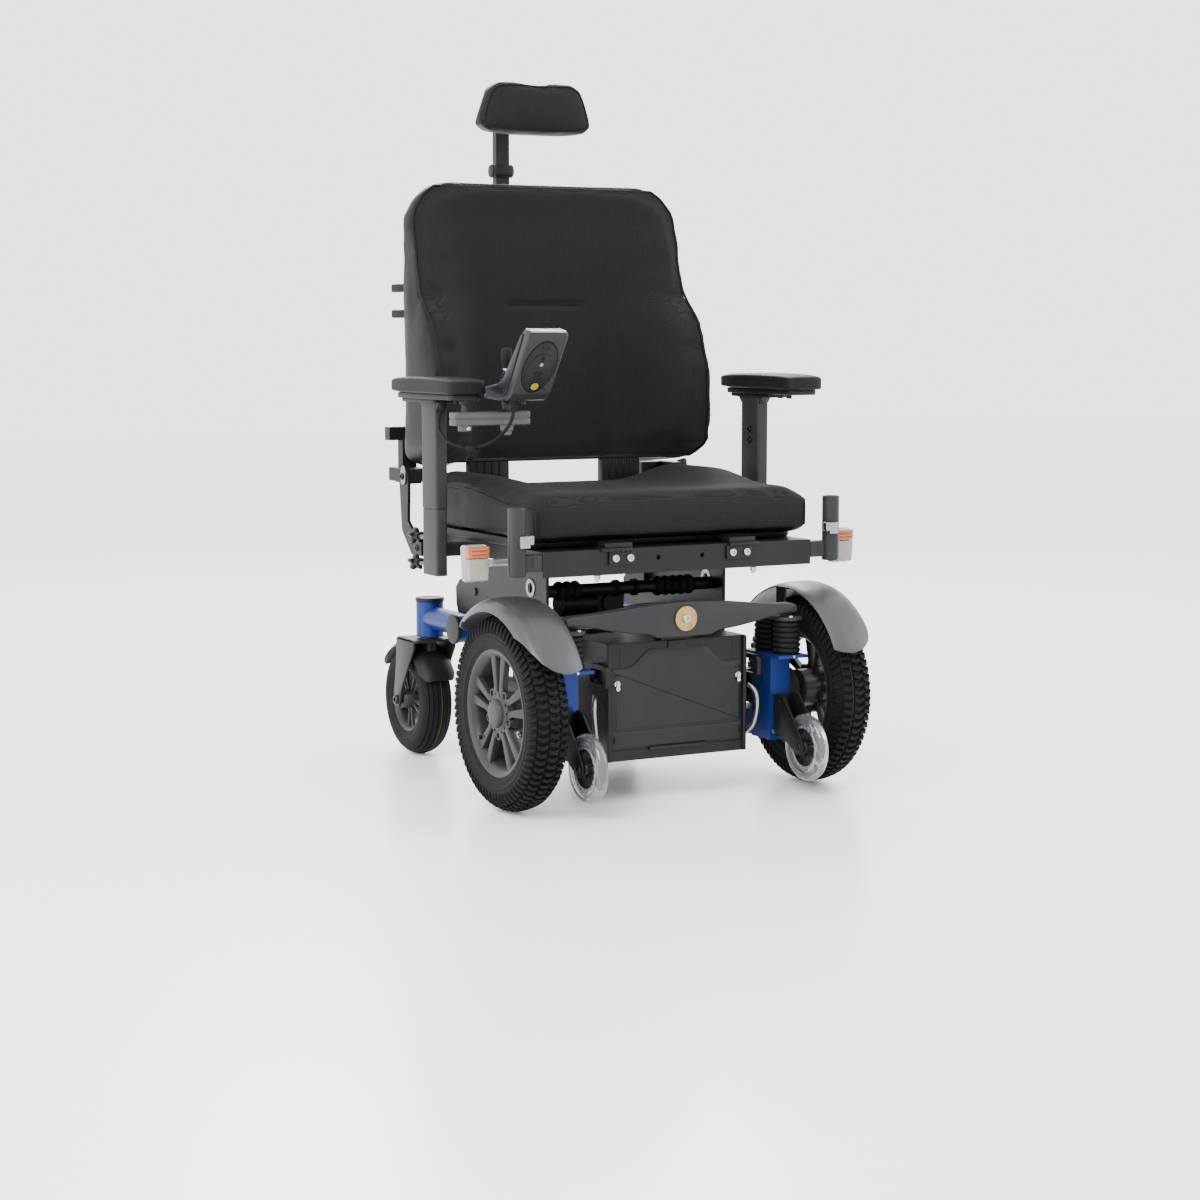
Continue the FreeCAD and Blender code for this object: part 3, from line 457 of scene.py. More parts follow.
def add_prism(mesh, outline, plane, start, depth, bevel=0.0, segments=2):
    """A flat outline on XY, XZ or YZ, thickened from start."""
    spots = {"XY": lambda a, b: (a, b, start), "XZ": lambda a, b: (a, start, b),
             "YZ": lambda a, b: (start, a, b)}[plane]
    along = {"XY": (0, 0, depth), "XZ": (0, depth, 0), "YZ": (depth, 0, 0)}[plane]
    verts = [mesh.verts.new(spots(a, b)) for a, b in outline]
    face = mesh.faces.new(verts)
    made = bmesh.ops.extrude_face_region(mesh, geom=[face])
    top = [part for part in made["geom"] if isinstance(part, bmesh.types.BMVert)]
    bmesh.ops.translate(mesh, vec=along, verts=top)
    faces = list({near for vert in verts + top for near in vert.link_faces})
    bmesh.ops.recalc_face_normals(mesh, faces=faces)
    bevel_edges(mesh, sharp_edges(mesh, faces, 0.7), bevel, segments)
    return list({vert for near in faces if near.is_valid for vert in near.verts})


def arc_points(a, b, radius, start, end, steps=8):
    """Points on an arc, from one angle to another in degrees."""
    turns = [math.radians(start + (end - start) * step / steps) for step in range(steps + 1)]
    return [(a + radius * math.cos(turn), b + radius * math.sin(turn)) for turn in turns]


def rounded_outline(points, radius, steps=5):
    """Replace each corner of an outline by an arc."""
    made = []
    total = len(points)
    for index in range(total):
        before, here, after = (Vector(points[(index + step) % total]) for step in (-1, 0, 1))
        inward, outward = before - here, after - here
        reach = min(radius, inward.length * 0.45, outward.length * 0.45)
        first, last = here + inward.normalized() * reach, here + outward.normalized() * reach
        for step in range(steps + 1):
            part = step / steps
            spot = first * (1 - part) ** 2 + here * 2 * part * (1 - part) + last * part ** 2
            made.append(tuple(spot))
    return made


# ------------------------------------------------------------ camera, light and floor

def look():
    """Camera at seat height on the chair's front right, and soft light from above."""
    scene = bpy.context.scene
    camera = bpy.data.objects.new("camera", bpy.data.cameras.new("camera"))
    camera.data.lens = 72.63
    camera.data.sensor_width = 36.0
    camera.location = at(-2.226, -3.834, 0.863)
    camera.rotation_euler = (math.radians(90 - 6.44), 0, math.radians(-28.62))
    scene.collection.objects.link(camera)
    scene.camera = camera

    world = bpy.data.worlds.new("studio")
    world.use_nodes = True
    world.node_tree.nodes["Background"].inputs[0].default_value = (1, 1, 1, 1)
    world.node_tree.nodes["Background"].inputs[1].default_value = 2.8
    scene.world = world
    lamps = (("key", (-2.6, -2.2, 3.2), 2.2, 190.0), ("fill", (3.0, -1.6, 2.2), 2.4, 60.0),
             ("rim", (1.2, 3.0, 2.8), 2.0, 150.0), ("low", (-3.4, 0.4, 0.9), 1.6, 60.0))
    for name, spot, size, power in lamps:
        light = bpy.data.objects.new(name, bpy.data.lights.new(name, "AREA"))
        light.data.size = size
        light.data.energy = power
        light.location = spot
        aim = Vector((0, 0, 0.6)) - Vector(spot)
        light.rotation_euler = aim.to_track_quat("-Z", "Y").to_euler()
        scene.collection.objects.link(light)

    floor_mesh = bmesh.new()
    bmesh.ops.create_grid(floor_mesh, x_segments=1, y_segments=1, size=14.0)
    data = bpy.data.meshes.new("floor")
    floor_mesh.to_mesh(data)
    floor_mesh.free()
    floor = bpy.data.objects.new("floor", data)
    scene.collection.objects.link(floor)
    finish = Finish("pale_floor", Base_Color=rgb(0.90, 0.90, 0.90))
    haze = finish.noise(3.0)
    finish.feed(Roughness=haze * 0.06 + 0.22)
    data.materials.append(finish.material)


# ------------------------------------------------------------ cushions

def smooth(value, low, high):
    part = min(max((value - low) / (high - low), 0.0), 1.0)
    return part * part * (3 - 2 * part)


def along(table, value):
    """Smoothly read a (place, size) profile."""
    if value <= table[0][0]:
        return table[0][1]
    for (low, first), (high, last) in zip(table, table[1:]):
        if value <= high:
            return first + (last - first) * smooth(value, low, high)
    return table[-1][1]


def formed_block(cuts, place):
    """A cube cut into a grid, each corner of it moved by place(u, v, w), all from -1 to 1."""
    mesh = bmesh.new()
    bmesh.ops.create_cube(mesh, size=2.0)
    for axis, number in enumerate(cuts):
        edges = [edge for edge in mesh.edges
                 if abs(edge.verts[0].co[axis] - edge.verts[1].co[axis]) > 1.0]
        bmesh.ops.subdivide_edges(mesh, edges=edges, cuts=number, use_grid_fill=True)
    for vert in mesh.verts:
        vert.co = place(*vert.co)
    return mesh


def frozen(thing):
    """The thing's mesh with its modifiers applied."""
    seen = thing.evaluated_get(bpy.context.evaluated_depsgraph_get())
    return bpy.data.meshes.new_from_object(seen)


def loose_object(name, data):
    made = bpy.data.objects.new(name, data)
    bpy.context.scene.collection.objects.link(made)
    return made


def blown_up(mesh, voxel, cap, pressure=4.0):
    """Cloth blown out by its filling, each point moved by no more than cap."""
    data = bpy.data.meshes.new("blank")
    mesh.to_mesh(data)
    mesh.free()
    blank = loose_object("blank", data)
    remesh = blank.modifiers.new("even", "REMESH")
    remesh.mode = "VOXEL"
    remesh.voxel_size = voxel
    even = frozen(blank)
    bpy.data.objects.remove(blank)
    cloth = loose_object("cloth", even)
    rest = [vert.co.copy() for vert in even.vertices]
    modifier = cloth.modifiers.new("filled", "CLOTH")
    modifier.settings.quality = 5
    modifier.settings.use_pressure = True
    modifier.settings.uniform_pressure_force = pressure
    modifier.settings.tension_stiffness = 30
    modifier.settings.compression_stiffness = 30
    modifier.settings.bending_stiffness = 0.5
    modifier.settings.effector_weights.gravity = 0
    for step in range(1, 21):
        bpy.context.scene.frame_set(step)
    even = frozen(cloth)
    bpy.context.scene.frame_set(1)
    bpy.data.objects.remove(cloth)
    filled = bmesh.new()
    filled.from_mesh(even)
    for vert, start in zip(filled.verts, rest):
        move = vert.co - start
        vert.co = start + move * min(1.0, cap / max(move.length, 1e-9))
    for _ in range(4):
        bmesh.ops.smooth_vert(filled, verts=filled.verts, factor=0.5, use_axis_x=True, use_axis_y=True,
                              use_axis_z=True)
    return filled


def finish_cushion(mesh, choose, finishes, name, body, node):
    mesh.normal_update()
    for face in mesh.faces:
        face.material_index = choose(face.calc_center_median(), face.normal)
        face.smooth = True
    made = piece(name, mesh, finishes, body, smooth=False, replaces=[node])
    detail = made.modifiers.new("soft", "SUBSURF")
    detail.levels = 1
    detail.render_levels = 1
    return made


def sewn_line(name, surface, spots, radius, finish, body, lift=0.0, closed=False):
    """Piping laid on a cushion: a round cord that follows spots snapped to its surface."""
    curve = bpy.data.curves.new(name, "CURVE")
    curve.dimensions = "3D"
    curve.bevel_depth = radius
    curve.bevel_resolution = 3
    line = curve.splines.new("NURBS")
    line.points.add(len(spots) - 1)
    for point, spot in zip(line.points, spots):
        found, near, normal, _ = surface.closest_point_on_mesh(Vector(spot))
        point.co = (near + normal * lift).to_4d() if found else Vector(spot).to_4d()
    line.order_u = 4
    line.use_endpoint_u = not closed
    line.use_cyclic_u = closed
    temporary = loose_object(name + "_line", curve)
    data = frozen(temporary)
    bpy.data.objects.remove(temporary)
    data.materials.clear()
    data.materials.append(finish.material)
    data.name = name
    made = loose_object(name, data)
    for face in data.polygons:
        face.use_smooth = True
    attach(made, body)
    return made


# Backrest: half width .305, wings that come forward lower down, hollow in the middle.
BACK_LOW, BACK_TOP, BACK_HALF = 0.592, 1.150, 0.300
WING_EDGE = [(0.590, 0.392), (0.607, 0.368), (0.637, 0.332), (0.700, 0.325), (0.780, 0.329),
             (0.840, 0.348), (0.876, 0.364), (0.900, 0.388), (0.937, 0.425), (1.000, 0.444),
             (1.085, 0.460), (1.150, 0.466)]
BACK_MIDDLE = [(0.590, 0.478), (0.700, 0.482), (0.906, 0.487), (1.050, 0.480), (1.150, 0.470)]
DART_Z, DART_HALF = 0.906, 0.083


def back_half_width(z):
    """Half width of the back at a height, with rounded top and bottom corners."""
    top_r, low_r = 0.095, 0.035
    if z > BACK_TOP - top_r:
        rise = min((z - (BACK_TOP - top_r)) / top_r, 1.0)
        return BACK_HALF - top_r * (1 - math.sqrt(max(1 - rise * rise, 0.0)))
    if z < BACK_LOW + low_r:
        rise = min((BACK_LOW + low_r - z) / low_r, 1.0)
        return BACK_HALF - low_r * (1 - math.sqrt(max(1 - rise * rise, 0.0)))
    return BACK_HALF


def back_front(x, z):
    side = smooth(abs(x), 0.135, 0.288)
    return along(BACK_MIDDLE, z) * (1 - side) + along(WING_EDGE, z) * side


def back_rear(x, z):
    return 0.556 - 0.050 * smooth(abs(x), 0.17, 0.30) - 0.022 * smooth(z, 1.07, 1.15)


def back_place(u, v, w):
    tall, part = BACK_TOP - BACK_LOW, (w + 1) / 2
    bunched = 0.5 - 0.5 * math.cos(math.pi * part)      # rows bunch towards the rounded ends
    z = BACK_LOW + tall * (0.35 * bunched + 0.65 * part)
    half = back_half_width(z)
    x = half * u
    front, rear = back_front(x * BACK_HALF / max(half, 0.01) * 0.5 + x * 0.5, z), back_rear(x, z)
    return at(x, front + (rear - front) * (v + 1) / 2, z)


def press_dart(mesh):
    """The sewn lumbar fold draws the cover in along a short level line."""
    for vert in mesh.verts:
        x, y, z = vert.co.x, vert.co.y - AXLE_Y, vert.co.z
        if y > 0.52:
            continue
        ends = 1 - smooth(abs(x), DART_HALF - 0.012, DART_HALF + 0.012)
        off = (z - DART_Z) / 0.006
        vert.co.y += 0.0065 * ends * math.exp(-off * off)


def back_cushion():
    mesh = blown_up(formed_block((46, 8, 50), back_place), 0.006, 0.009)
    press_dart(mesh)

    def cover(spot, normal):
        edge = back_half_width(spot.z) - 0.010
        front = normal.y < -0.25 and abs(spot.x) < edge and spot.z < BACK_TOP - 0.010
        return 0 if front and spot.y - AXLE_Y < 0.50 else 1

    made = finish_cushion(mesh, cover, [MESH, LEATHER], "back_cushion_cover", "backrest",
                          "back_cushion")
    half = 60
    spots = []
    for step in range(half):
        part = 0.5 - 0.5 * math.cos(math.pi * step / (half - 1))
        z = BACK_LOW + 0.006 + (BACK_TOP - BACK_LOW - 0.014) * part
        width = back_half_width(z) - 0.004
        spots.append((width, z))
    ring = spots + [(-x, z) for x, z in reversed(spots)]
    line = [at(x, back_front(x, z), z) for x, z in ring]
    sewn_line("back_piping", made, line, 0.0026, LEATHER, "backrest", 0.0012, closed=True)
    dart = [at(DART_HALF * (step / 10 * 2 - 1), 0.488, DART_Z) for step in range(11)]
    sewn_line("lumbar_stitch", made, dart, 0.0008, LEATHER, "backrest", 0.0)
    return made


SEAT_HALF, SEAT_FRONT, SEAT_BACK, SEAT_LOW = 0.297, -0.053, 0.420, 0.487


def seat_top(x, y):
    """Height of the seat: raised thigh sides towards the back, rolled front edge."""
    thigh = smooth(abs(x), 0.10, 0.25) * smooth(y, 0.02, 0.26)
    dish = 0.006 * smooth(y, 0.0, 0.15) * (1 - smooth(abs(x), 0.12, 0.26))
    edge = 0.010 * smooth(abs(x), 0.255, 0.297)
    return 0.559 + 0.022 * thigh - dish - edge


def seat_place(u, v, w):
    y = SEAT_FRONT + (SEAT_BACK - SEAT_FRONT) * (v + 1) / 2
    corner = 0.030
    into = max(0.0, SEAT_FRONT + corner - y) / corner
    half = SEAT_HALF - corner * (1 - math.sqrt(max(1 - into * into, 0.0)))
    x = half * u
    top = seat_top(x, y)
    roll = max(0.0, SEAT_FRONT + 0.035 - y) / 0.035
    top -= 0.026 * (1 - math.sqrt(max(1 - roll * roll, 0.0)))
    return at(x, y, SEAT_LOW + (top - SEAT_LOW) * (w + 1) / 2)


def seat_cushion():
    mesh = blown_up(formed_block((46, 40, 8), seat_place), 0.006, 0.008)

    def cover(spot, normal):
        if normal.z < -0.5 or abs(normal.x) > 0.72 or normal.y > 0.6:
            return 1
        return 0

    made = finish_cushion(mesh, cover, [MESH, LEATHER], "seat_cushion_cover", "seat", "seat_cushion")
    for name, side in SIDES:
        line = []
        for step in range(40):
            y = SEAT_BACK - 0.01 - (SEAT_BACK - SEAT_FRONT - 0.022) * step / 39
            line.append(at(side * (SEAT_HALF + 0.001), y, seat_top(SEAT_HALF, y) - 0.004))
        for step in range(1, 9):
            line.append(at(side * (SEAT_HALF - 0.006), SEAT_FRONT + 0.004, 0.545 - 0.055 * step / 8))
        sewn_line(name + "_seat_piping", made, line, 0.0024, LEATHER, "seat", 0.001)
    return made


def headrest_place(u, v, w):
    low, top = 1.245, 1.342
    height = (w + 1) / 2
    z = low + (top - low) * height - 0.001 * math.cos(u * 3.2) * height
    half = 0.126 - 0.030 * height ** 1.3
    squeeze = 1 - 0.16 * smooth(abs(w), 0.75, 1.0)
    x = half * u * squeeze
    crown = 0.007 * (1 - u * u) * (1 - w * w)
    front = 0.502 - crown + 0.006 * u * u
    rear = 0.552 - 0.010 * u * u
    return at(x, front + (rear - front) * (v + 1) / 2, z)


def headrest_cushion():
    mesh = blown_up(formed_block((24, 6, 14), headrest_place), 0.0045, 0.006)

    def cover(spot, normal):
        if normal.z < -0.62 and spot.y - AXLE_Y > 0.505:
            return 2
        return 0 if normal.y < -0.30 else 1

    made = finish_cushion(mesh, cover, [MESH, LEATHER, GREY_COAT], "headrest_cover", "headrest",
                          "headrest_pad")
    ring = []
    for step in range(72):
        turn = math.tau * step / 72
        u = math.copysign(abs(math.cos(turn)) ** 0.45, math.cos(turn))
        w = math.copysign(abs(math.sin(turn)) ** 0.45, math.sin(turn))
        ring.append(headrest_place(u * 0.97, -1, w * 0.95))
    sewn_line("headrest_piping", made, ring, 0.0020, LEATHER, "headrest", 0.0008, closed=True)
    return made


# ------------------------------------------------------------ wheels

def ring_copies(mesh, number, centre, turn=1.0, axis=(1, 0, 0)):
    """Repeat everything in the mesh evenly about a centre, from now to a whole turn."""
    geometry = mesh.verts[:] + mesh.edges[:] + mesh.faces[:]
    bmesh.ops.spin(mesh, geom=geometry, cent=centre, axis=axis, steps=number - 1,
                   angle=math.tau * turn * (number - 1) / number, use_duplicate=True)


def tyre_section(turn, half, crown, height):
    """A point of a tyre's round section, turn degrees from its crown: (across, radius)."""
    angle = math.radians(turn)
    return half * math.sin(angle), crown - height * (1 - math.cos(angle))


def tread_lug(mesh, outline, centre, section, rise):
    """A tread block: (turn, along) outline in degrees and metres, raised from the section."""
    half, crown, height = section
    middle_turn = sum(turn for turn, _ in outline) / len(outline)
    middle_run = sum(run for _, run in outline) / len(outline)

    def spot(turn, run, lift):
        across, radius = tyre_section(turn, half, crown, height)
        angle = math.radians(turn)
        across, radius = across + lift * math.sin(angle), radius + lift * math.cos(angle)
        around = run / crown
        return Vector((across, -radius * math.cos(around), radius * math.sin(around))) + centre

    base = [mesh.verts.new(spot(turn, run, -0.001)) for turn, run in outline]
    made = bmesh.ops.extrude_face_region(mesh, geom=[mesh.faces.new(base)])
    tops = [part for part in made["geom"] if isinstance(part, bmesh.types.BMVert)]
    for vert, (turn, run) in zip(tops, outline):
        drawn = (middle_turn + (turn - middle_turn) * 0.90, middle_run + (run - middle_run) * 0.78)
        vert.co = spot(*drawn, rise(drawn[0]))
    faces = list({face for vert in base + tops for face in vert.link_faces})
    bmesh.ops.recalc_face_normals(mesh, faces=faces)
    top_edges = [edge for edge in sharp_edges(mesh, faces, 0.5) if all(v in tops for v in edge.verts)]
    bevel_edges(mesh, top_edges, 0.0007, 1)


def drive_tyre(name, side):
    """Knobbly tyre: rows of chevron blocks with their points down at the front, side fins."""
    centre = Vector((side * TYRE_X, AXLE_Y, WHEEL_R))
    section = (0.0360, 0.1708, 0.0262)
    pitches = 74
    pitch = math.tau * section[1] / pitches

    def rise(turn):
        return 0.0071 - 0.0050 * smooth(abs(turn), 38, 92)

    mesh = bmesh.new()
    for low, high, shift, dip in ((-14, 14, 0.0, 0.0044), (-44, -17, 0.5, 0.0036), (17, 44, 0.5, 0.0036)):
        mid, run, back = (low + high) / 2, pitch * shift, pitch * 0.30
        outline = [(low, run - back), (mid, run - back - dip), (high, run - back),
                   (high, run + back), (mid, run + back - dip), (low, run + back)]
        tread_lug(mesh, outline, centre, section, rise)
    for hand in (-1, 1):
        back = pitch * 0.27
        steps = ((47, 0.0), (62, -0.0035), (78, -0.0060), (93, -0.0068))
        outline = [(hand * turn, run - back) for turn, run in steps]
        outline += [(hand * turn, run + back * (1.0 - 0.2 * (turn > 90))) for turn, run in reversed(steps)]
        tread_lug(mesh, outline, centre, section, rise)
    ring_copies(mesh, pitches, centre)

    profile = [tyre_section(turn, *section) for turn in range(-100, 101, 10)]
    wall = [(0.0352, 0.138), (0.0362, 0.1365), (0.0356, 0.1348), (0.0345, 0.130), (0.0335, 0.1238),
            (0.0340, 0.1228), (0.0332, 0.1216), (0.0318, 0.1176), (0.0306, 0.1148), (0.0292, 0.1142)]
    profile = [(-across, radius) for across, radius in reversed(wall)] + profile + wall
    add_lathe(mesh, profile, centre, "X", 112)
    piece(name + "_drive_tyre_tread", mesh, TREAD_RUBBER, name + "_wheel",
          replaces=[name + "_drive_tyre"])

    dashes = bmesh.new()
    across, radius = tyre_section(side * -15.5, *section)
    dash = add_block(dashes, (-0.0006, -radius - 0.0004, -pitch * 0.42),
                     (0.0006, -radius + 0.0006, pitch * 0.42))
    bmesh.ops.translate(dashes, vec=centre + Vector((across, 0, 0)), verts=dash)
    ring_copies(dashes, pitches, centre)
    piece(name + "_tread_stripe", dashes, STRIPE, name + "_wheel", smooth=False)


def twin_spoke(mesh, centre, side, root, reach, face, depth, spread, widths, turn):
    """Two bars that part from the hub like a tuning fork, at a turn from straight up."""
    before = set(mesh.verts)
    for hand in (-1, 1):
        near, far = spread
        thin, wide = widths
        outline = [(hand * (near - thin / 2), root), (hand * (near + thin * 0.9), root),
                   (hand * (near + thin * 0.62), root + (reach - root) * 0.30),
                   (hand * (far + wide / 2), reach), (hand * (far - wide / 2), reach)]
        start = side * face - (depth if side > 0 else 0)
        add_prism(mesh, outline, "YZ", start, depth, 0.0024, 2)
    web = [(-spread[0] - 0.004, root - 0.004), (spread[0] + 0.004, root - 0.004),
           (spread[0] + 0.002, root + (reach - root) * 0.17), (-spread[0] - 0.002,
                                                               root + (reach - root) * 0.17)]
    add_prism(mesh, web, "YZ", side * face - (depth if side > 0 else 0), depth * 0.96, 0.002, 2)
    fresh = [vert for vert in mesh.verts if vert not in before]
    place = Matrix.Translation(centre) @ Matrix.Rotation(turn, 4, "X")
    bmesh.ops.transform(mesh, matrix=place, verts=fresh)


def drive_rim(name, side):
    """Five twin-spoke moulded rim with a deep barrel, a capped hub and five bolts."""
    centre = Vector((side * TYRE_X, AXLE_Y, WHEEL_R))
    mesh = bmesh.new()
    barrel = [(-0.0304, 0.1136), (-0.0300, 0.1156), (-0.0272, 0.1160), (-0.0240, 0.1120), (-0.0180, 0.1030),
              (0.0150, 0.1030), (0.0232, 0.1118), (0.0272, 0.1160), (0.0300, 0.1156), (0.0304, 0.1136),
              (0.0292, 0.1090), (0.0262, 0.1052), (0.0200, 0.0985), (0.0120, 0.0972), (-0.0160, 0.0972),
              (-0.0250, 0.1050), (-0.0290, 0.1095)]
    add_lathe(mesh, [(side * across, radius) for across, radius in barrel], centre, "X", 96)
    for number in range(5):
        twin_spoke(mesh, centre, side, 0.026, 0.1035, 0.0245, 0.0130, (0.0088, 0.0200),
                   (0.0128, 0.0195), math.tau * number / 5)
    hub = [(-0.0250, 0.0), (-0.0250, 0.034), (-0.0240, 0.036), (0.0180, 0.036), (0.0225, 0.0345),
           (0.0246, 0.0322), (0.0262, 0.0282), (0.0262, 0.0)]
    add_lathe(mesh, [(side * across, radius) for across, radius in hub], centre, "X", 64, closed=False)
    cap = [(0.0255, 0.0262), (0.0300, 0.0255), (0.0330, 0.0235), (0.0345, 0.0200), (0.0350, 0.0120),
           (0.0352, 0.0)]
    add_lathe(mesh, [(side * across, radius) for across, radius in cap], centre, "X", 64, closed=False)
    for number in range(5):
        turn = math.tau * (number + 0.5) / 5
        spot = centre + Vector((side * 0.0230, math.sin(turn) * -0.0405, math.cos(turn) * 0.0405))
        boss = [(-0.016, 0.0), (-0.016, 0.0088), (0.0, 0.0088), (0.0012, 0.0078), (0.0012, 0.0056),
                (-0.006, 0.0054), (-0.006, 0.0)]
        add_lathe(mesh, [(side * across, radius) for across, radius in boss], spot, "X", 24, closed=False)
    piece(name + "_drive_rim_cast", mesh, RIM_PLASTIC, name + "_wheel",
          replaces=[name + "_drive_rim"])

    bolts = bmesh.new()
    for number in range(5):
        turn = math.tau * (number + 0.5) / 5
        spot = centre + Vector((side * 0.0195, math.sin(turn) * -0.0405, math.cos(turn) * 0.0405))
        add_rod(bolts, spot, 0.0046, 0.0050, "X", 6, 0.0005)
    valve = centre + Vector((side * 0.021, 0.086 * math.sin(0.9), -0.086 * math.cos(0.9)))
    add_rod(bolts, valve, 0.0038, 0.020, "X", 16, 0.0008)
    piece(name + "_wheel_bolts", bolts, BLACK_STEEL, name + "_wheel")


def caster_wheel(name, side):
    """Ribbed pneumatic caster tyre on a small twin-spoke rim."""
    low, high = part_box(name + "_caster_tyre")
    centre = (low + high) / 2
    outer = (high.z - low.z) / 2
    body = name + "_caster_wheel"
    section = (0.0322, outer, 0.0245)
    mesh = bmesh.new()
    tread = []
    for turn in range(-96, 97, 3):
        across, radius = tyre_section(turn, *section)
        cut = 0.0
        for groove in (-46, -27, -9, 9, 27, 46):
            if abs(turn - groove) < 1.6:
                cut = 0.0022
        angle = math.radians(turn)
        tread.append((across - cut * math.sin(angle), radius - cut * math.cos(angle)))
    wall = [(0.0316, outer - 0.0300), (0.0322, outer - 0.0312), (0.0312, outer - 0.0326), (0.0296, 0.0735),
            (0.0288, 0.0680), (0.0270, 0.0655)]
    profile = [(-across, radius) for across, radius in reversed(wall)] + tread + wall
    add_lathe(mesh, profile, centre, "X", 96)
    fins = bmesh.new()
    for hand in (-1, 1):
        outline = [(hand * 52, -0.0014), (hand * 70, -0.0013), (hand * 84, -0.0010), (hand * 84, 0.0010),
                   (hand * 70, 0.0013), (hand * 52, 0.0014)]
        tread_lug(fins, outline, centre, section, lambda turn: 0.0004)
    ring_copies(fins, 64, centre)
    spare = bpy.data.meshes.new("fins")
    fins.to_mesh(spare)
    fins.free()
    mesh.from_mesh(spare)
    bpy.data.meshes.remove(spare)
    piece(name + "_caster_tyre_ribbed", mesh, TREAD_RUBBER, body,
          replaces=[name + "_caster_tyre"])

    stripe = bmesh.new()
    across, radius = tyre_section(side * -3, *section)
    line = [(-0.0005, radius - 0.0010), (-0.0005, radius + 0.0001), (0.0005, radius + 0.0001),
            (0.0005, radius - 0.0010)]
    add_lathe(stripe, line, centre + Vector((across, 0, 0)), "X", 96)
    piece(name + "_caster_stripe", stripe, STRIPE, body, smooth=False)

    rim = bmesh.new()
    barrel = [(-0.0264, 0.0655), (-0.0240, 0.0672), (-0.0205, 0.0650), (-0.0160, 0.0590), (0.0160, 0.0590),
              (0.0205, 0.0650), (0.0240, 0.0672), (0.0264, 0.0655), (0.0258, 0.0625), (0.0225, 0.0590),
              (0.0160, 0.0555), (-0.0160, 0.0555), (-0.0225, 0.0590), (-0.0258, 0.0625)]
    add_lathe(rim, barrel, centre, "X", 72)
    for hand in (-1, 1):
        for number in range(5):
            twin_spoke(rim, centre, hand, 0.014, 0.0585, 0.0190, 0.0070, (0.0042, 0.0112),
                       (0.0064, 0.0090), math.tau * (number + 0.5) / 5)
    hub = [(-0.0376, 0.0085), (-0.0376, 0.0135), (-0.0355, 0.0155), (-0.0200, 0.0200), (0.0200, 0.0200),
           (0.0355, 0.0155), (0.0376, 0.0135), (0.0376, 0.0085)]
    add_lathe(rim, hub, centre, "X", 48)
    piece(name + "_caster_rim_cast", rim, RIM_PLASTIC, body, replaces=[name + "_caster_rim"])


def anti_tip_wheel(name, side):
    """Clear skate wheel: urethane tyre, pale drilled ring with its holes painted as dark shadow discs, and a
    dark hub of thin spokes.
    """
    low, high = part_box(name + "_anti_tip_tyre")
    centre = (low + high) / 2
    outer, half = (high.z - low.z) / 2, (high.x - low.x) / 2
    body = name + "_anti_tip"
    tyre = bmesh.new()
    profile = []
    for turn in range(-90, 91, 12):
        angle = math.radians(turn)
        profile.append((half * 0.98 * math.sin(angle), outer - half * 0.95 * (1 - math.cos(angle))))
    wall = [(half * 0.98, outer - 0.0150), (half * 0.90, outer - 0.0180), (0.0092, 0.0425), (0.0088, 0.0405)]
    profile = [(-across, radius) for across, radius in reversed(wall)] + profile + wall
    add_lathe(tyre, profile, centre, "X", 88)
    piece(name + "_anti_tip_clear_tyre", tyre, URETHANE, body,
          replaces=[name + "_anti_tip_tyre"])

    core = bmesh.new()
    ring = [(-0.0086, 0.0365), (-0.0086, 0.0395), (-0.0080, 0.0403), (0.0080, 0.0403), (0.0086, 0.0395),
            (0.0086, 0.0365), (0.0070, 0.0352), (-0.0070, 0.0352)]
    add_lathe(core, ring, centre, "X", 72)
    piece(name + "_anti_tip_ring", core, PALE_CORE, body)

    # Dark discs on both faces of the ring, painted as the shade inside its drilled holes.
    hole_shadow_discs = bmesh.new()
    for hand in (-1, 1):
        add_rod(hole_shadow_discs, centre + Vector((hand * 0.0086, 0, 0.0380)), 0.0016, 0.0006, "X", 12, 0.0001)
    ring_copies(hole_shadow_discs, 20, centre)
    piece(name + "_anti_tip_ring_holes", hole_shadow_discs, HUB_PLASTIC, body)

    hub = bmesh.new()
    add_block(hub, centre + Vector((-0.0062, -0.0010, 0.0100)), centre + Vector((0.0062, 0.0010, 0.0358)),
              0.0006, 1)
    ring_copies(hub, 12, centre)
    shell = [(-0.0112, 0.0052), (-0.0112, 0.0095), (-0.0100, 0.0112), (-0.0060, 0.0125), (0.0060, 0.0125),
             (0.0100, 0.0112), (0.0112, 0.0095), (0.0112, 0.0052)]
    add_lathe(hub, shell, centre, "X", 40)
    rim = [(-0.0072, 0.0338), (-0.0072, 0.0356), (0.0072, 0.0356), (0.0072, 0.0338)]
    add_lathe(hub, rim, centre, "X", 72)
    piece(name + "_anti_tip_spokes", hub, HUB_PLASTIC, body, replaces=[name + "_anti_tip_hub"])


# ------------------------------------------------------------ shells and bent rods

def add_shell(mesh, place, cuts, wall):
    """A grid laid by place(u, v), both from -1 to 1, thickened inwards to a closed wall."""
    made = bmesh.ops.create_grid(mesh, x_segments=cuts[0], y_segments=cuts[1], size=1.0)
    verts = made["verts"]
    for vert in verts:
        vert.co = place(vert.co.x, vert.co.y)
    faces = list({face for vert in verts for face in vert.link_faces})
    bmesh.ops.recalc_face_normals(mesh, faces=faces)
    solid = bmesh.ops.solidify(mesh, geom=faces, thickness=wall)
    every = [part for part in solid["geom"] if isinstance(part, bmesh.types.BMFace)] + faces
    bmesh.ops.recalc_face_normals(mesh, faces=list(set(every)))


def smooth_curve(name, spots, steps):
    """A NURBS curve with the spots as its control points."""
    curve = bpy.data.curves.new(name, "CURVE")
    curve.dimensions = "3D"
    line = curve.splines.new("NURBS")
    line.points.add(len(spots) - 1)
    for point, spot in zip(line.points, spots):
        point.co = Vector(spot).to_4d()
    line.order_u = 3
    line.use_endpoint_u = True
    line.resolution_u = steps
    return curve


